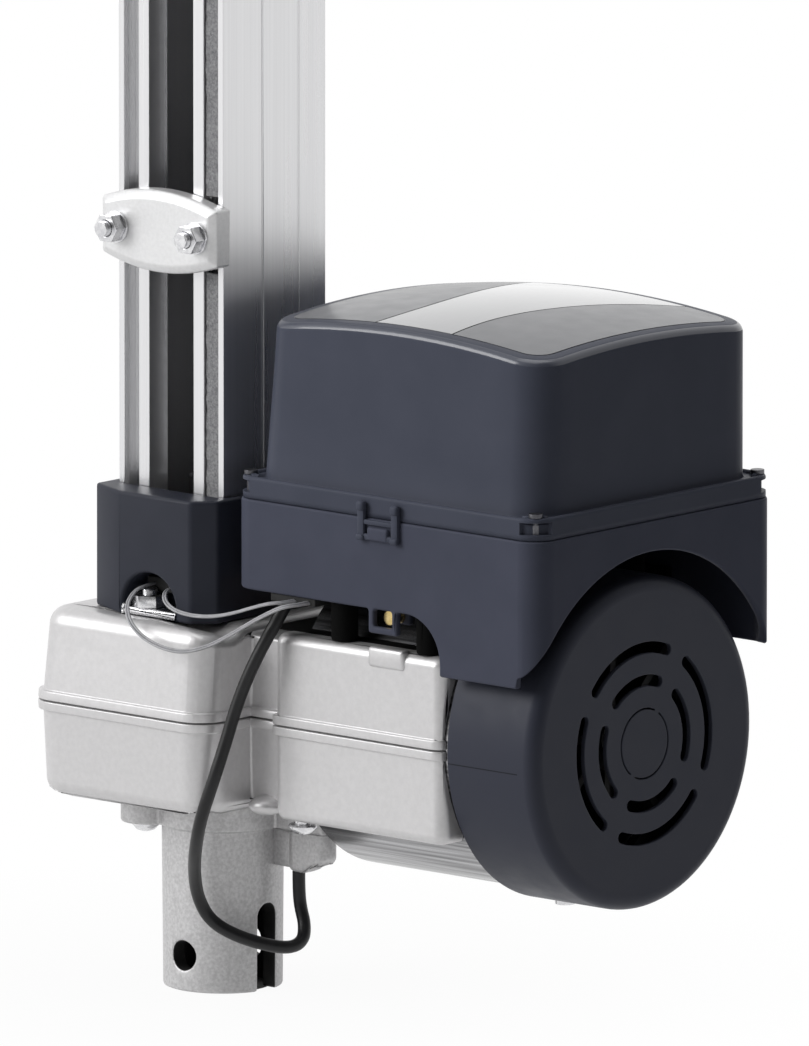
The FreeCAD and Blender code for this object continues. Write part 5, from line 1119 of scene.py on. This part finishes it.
def make_capacitor():
    """Round can with a stepped end and two tabs."""
    low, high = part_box("motor_capacitor")
    x, z = (low[0] + high[0]) / 2, (low[2] + high[2]) / 2
    radius = (high[0] - low[0]) / 2
    bm = bmesh.new()
    add_rod(bm, (x, low[1] + CAN_NECK, z), (x, high[1], z), radius, 40, 0.0025)
    add_rod(bm, (x, low[1] + 0.002, z), (x, low[1] + 0.0045, z), 0.8 * radius, 40, 0.0006)
    add_piece("capacitor_can", bm, "motor_capacitor")
    bm = bmesh.new()
    for tab in (x - TAB_OFFSET, x + TAB_OFFSET):
        add_block(bm, (tab - 0.0024, low[1], z - 0.0005), (tab + 0.0024, low[1] + CAN_NECK, z + 0.0005), 0.0002)
    add_detail("capacitor_tabs", bm, "terminal_brass")


def make_terminals():
    """A row of terminals, each a stepped block with a screw on top and a wire entry in front."""
    low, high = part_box("terminal_strip")
    pitch = (high[0] - low[0]) / TERMINALS
    middle = (low[1] + high[1]) / 2
    blocks, screws = bmesh.new(), bmesh.new()
    for index in range(TERMINALS):
        x = low[0] + index * pitch
        add_block(blocks, (x + 0.0003, low[1], low[2]), (x + pitch - 0.0003, high[1], high[2] - 0.001), 0.0005)
        add_block(blocks, (x + 0.0012, low[1] + 0.001, high[2] - 0.0025),
                  (x + pitch - 0.0012, high[1] - 0.001, high[2]), 0.0004)
        x = low[0] + (index + 0.5) * pitch
        add_rod(screws, (x, middle, high[2] - 0.0008), (x, middle, high[2] + 0.0004), 0.0019, 16, 0.0003)
        add_rod(screws, (x, low[1] - 0.0002, low[2] + 0.004), (x, low[1] + 0.001, low[2] + 0.004), 0.0014, 14)
    add_piece("terminal_blocks", blocks, "terminal_strip")
    add_detail("terminal_screws", screws, "zinc_steel")


def make_chips():
    """The small parts that lie on the control board."""
    low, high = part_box("control_board")
    bm = bmesh.new()
    for share_x, share_y, long, wide, tall in BOARD_CHIPS:
        x = low[0] + share_x * (high[0] - low[0])
        y = low[1] + share_y * (high[1] - low[1])
        add_block(bm, (x, y, high[2]), (x + long, y + wide, high[2] + tall), 0.0004)
    add_detail("board_chips", bm, "black_plastic")


CABLE_RADIUS = 0.00245
WIRE_RADIUS = 0.0009
MOTOR_CABLE_ROUTE = [
    (0.0620, -0.0335, 0.1430), (0.0606, -0.0370, 0.1366), (0.0578, -0.0410, 0.1286), (0.0536, -0.0446, 0.1175),
    (0.0492, -0.0472, 0.1045), (0.0465, -0.0505, 0.0900), (0.0438, -0.0545, 0.0755), (0.0385, -0.0555, 0.0610),
    (0.0305, -0.0495, 0.0480), (0.0210, -0.0395, 0.0365), (0.0160, -0.0320, 0.0255), (0.0185, -0.0280, 0.0165),
    (0.0260, -0.0225, 0.0110), (0.0335, -0.0135, 0.0070), (0.0378, -0.0045, 0.0050), (0.0380, 0.0025, 0.0070),
    (0.0355, 0.0060, 0.0125), (0.0328, 0.0066, 0.0185), (0.0322, 0.0064, 0.0250), (0.0322, 0.0064, 0.0320),
]
LEFT_WIRE_ROUTE = [
    (-0.0035, -0.0340, 0.1420), (-0.0035, -0.0400, 0.1420), (-0.0032, -0.0460, 0.1405),
    (-0.0015, -0.0520, 0.1365), (0.0040, -0.0565, 0.1315), (0.0115, -0.0580, 0.1270), (0.0210, -0.0580, 0.1240),
    (0.0310, -0.0570, 0.1232), (0.0405, -0.0540, 0.1260), (0.0485, -0.0502, 0.1310), (0.0560, -0.0478, 0.1360),
    (0.0635, -0.0470, 0.1402), (0.0710, -0.0464, 0.1438), (0.0750, -0.0414, 0.1444), (0.0750, -0.0360, 0.1444),
]
RIGHT_WIRE_ROUTE = [
    (0.0075, -0.0340, 0.1420), (0.0075, -0.0400, 0.1420), (0.0110, -0.0452, 0.1390), (0.0180, -0.0478, 0.1364),
    (0.0270, -0.0476, 0.1353), (0.0370, -0.0468, 0.1360), (0.0465, -0.0460, 0.1384), (0.0550, -0.0456, 0.1414),
    (0.0640, -0.0460, 0.1442), (0.0680, -0.0414, 0.1444), (0.0680, -0.0360, 0.1444),
]


def cord_line(name, route):
    """A smooth curve through its route's control points."""
    line = bpy.data.curves.new(name, "CURVE")
    line.dimensions = "3D"
    line.resolution_u = 8
    spline = line.splines.new("NURBS")
    spline.points.add(len(route) - 1)
    for point, place in zip(spline.points, route):
        point.co = (*place, 1.0)
    spline.order_u = 3
    spline.use_endpoint_u = True
    return line


def lay_cable(name, route, radius, node, slot):
    """A round cable, fixed to the housing at both ends."""
    line = cord_line(name, route)
    line.bevel_depth = radius
    line.bevel_resolution = 5
    line.use_fill_caps = True
    line.materials.append(FINISHES[slot])
    piece = new_object(name, line)
    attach(piece, "housing")
    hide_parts(node)


def lay_twin_wire(name, route, radius, node):
    """A flat lead of two strands side by side, fixed to the housing at both ends."""
    drawn = drawn_mesh(name, cord_line(name, route))
    points = [vert.co.copy() for vert in drawn.vertices]
    bpy.data.meshes.remove(drawn)
    side = Vector((1.0, 0.0, 0.0))
    strands = ([], [])
    for index, point in enumerate(points):
        along = (points[min(index + 1, len(points) - 1)] - points[max(index - 1, 0)]).normalized()
        side = (side - along * side.dot(along)).normalized()
        up = along.cross(side)
        for strand, way in zip(strands, (-0.5, 0.5)):
            section = [polar(0.5, 36 * step) for step in range(10)]
            strand.append([point + side * radius * (way + across) + up * radius * rise for across, rise in section])
    bm = bmesh.new()
    for strand in strands:
        lofted(bm, strand, close_first=True, close_last=True)
    piece = add_piece(name, bm, node, angle=60.0)


make_finishes()
set_camera()
set_studio()
make_floor()
for part in frame["record"]["subparts"]:
    mesh = frame["nodes"][part["node"]].data
    mesh.materials.clear()
    mesh.materials.append(FINISHES[NODE_LOOKS.get(part["node"], part["material_slot"])])
lay_cable("motor_cable_line", MOTOR_CABLE_ROUTE, CABLE_RADIUS, "motor_cable", "cable_black")
lay_twin_wire("left_wire_strands", LEFT_WIRE_ROUTE, WIRE_RADIUS, "left_sensor_wire")
lay_twin_wire("right_wire_strands", RIGHT_WIRE_ROUTE, WIRE_RADIUS, "right_sensor_wire")
make_cover()
make_gear_case()
make_fan_cover()
make_barrel_plate()
make_foot()
make_case_screws()
make_collar_and_base()
make_stop()
make_rail()
make_spindle()
make_felt()
soften_plain_nodes()
make_transformer()
make_capacitor()
make_terminals()
make_chips()
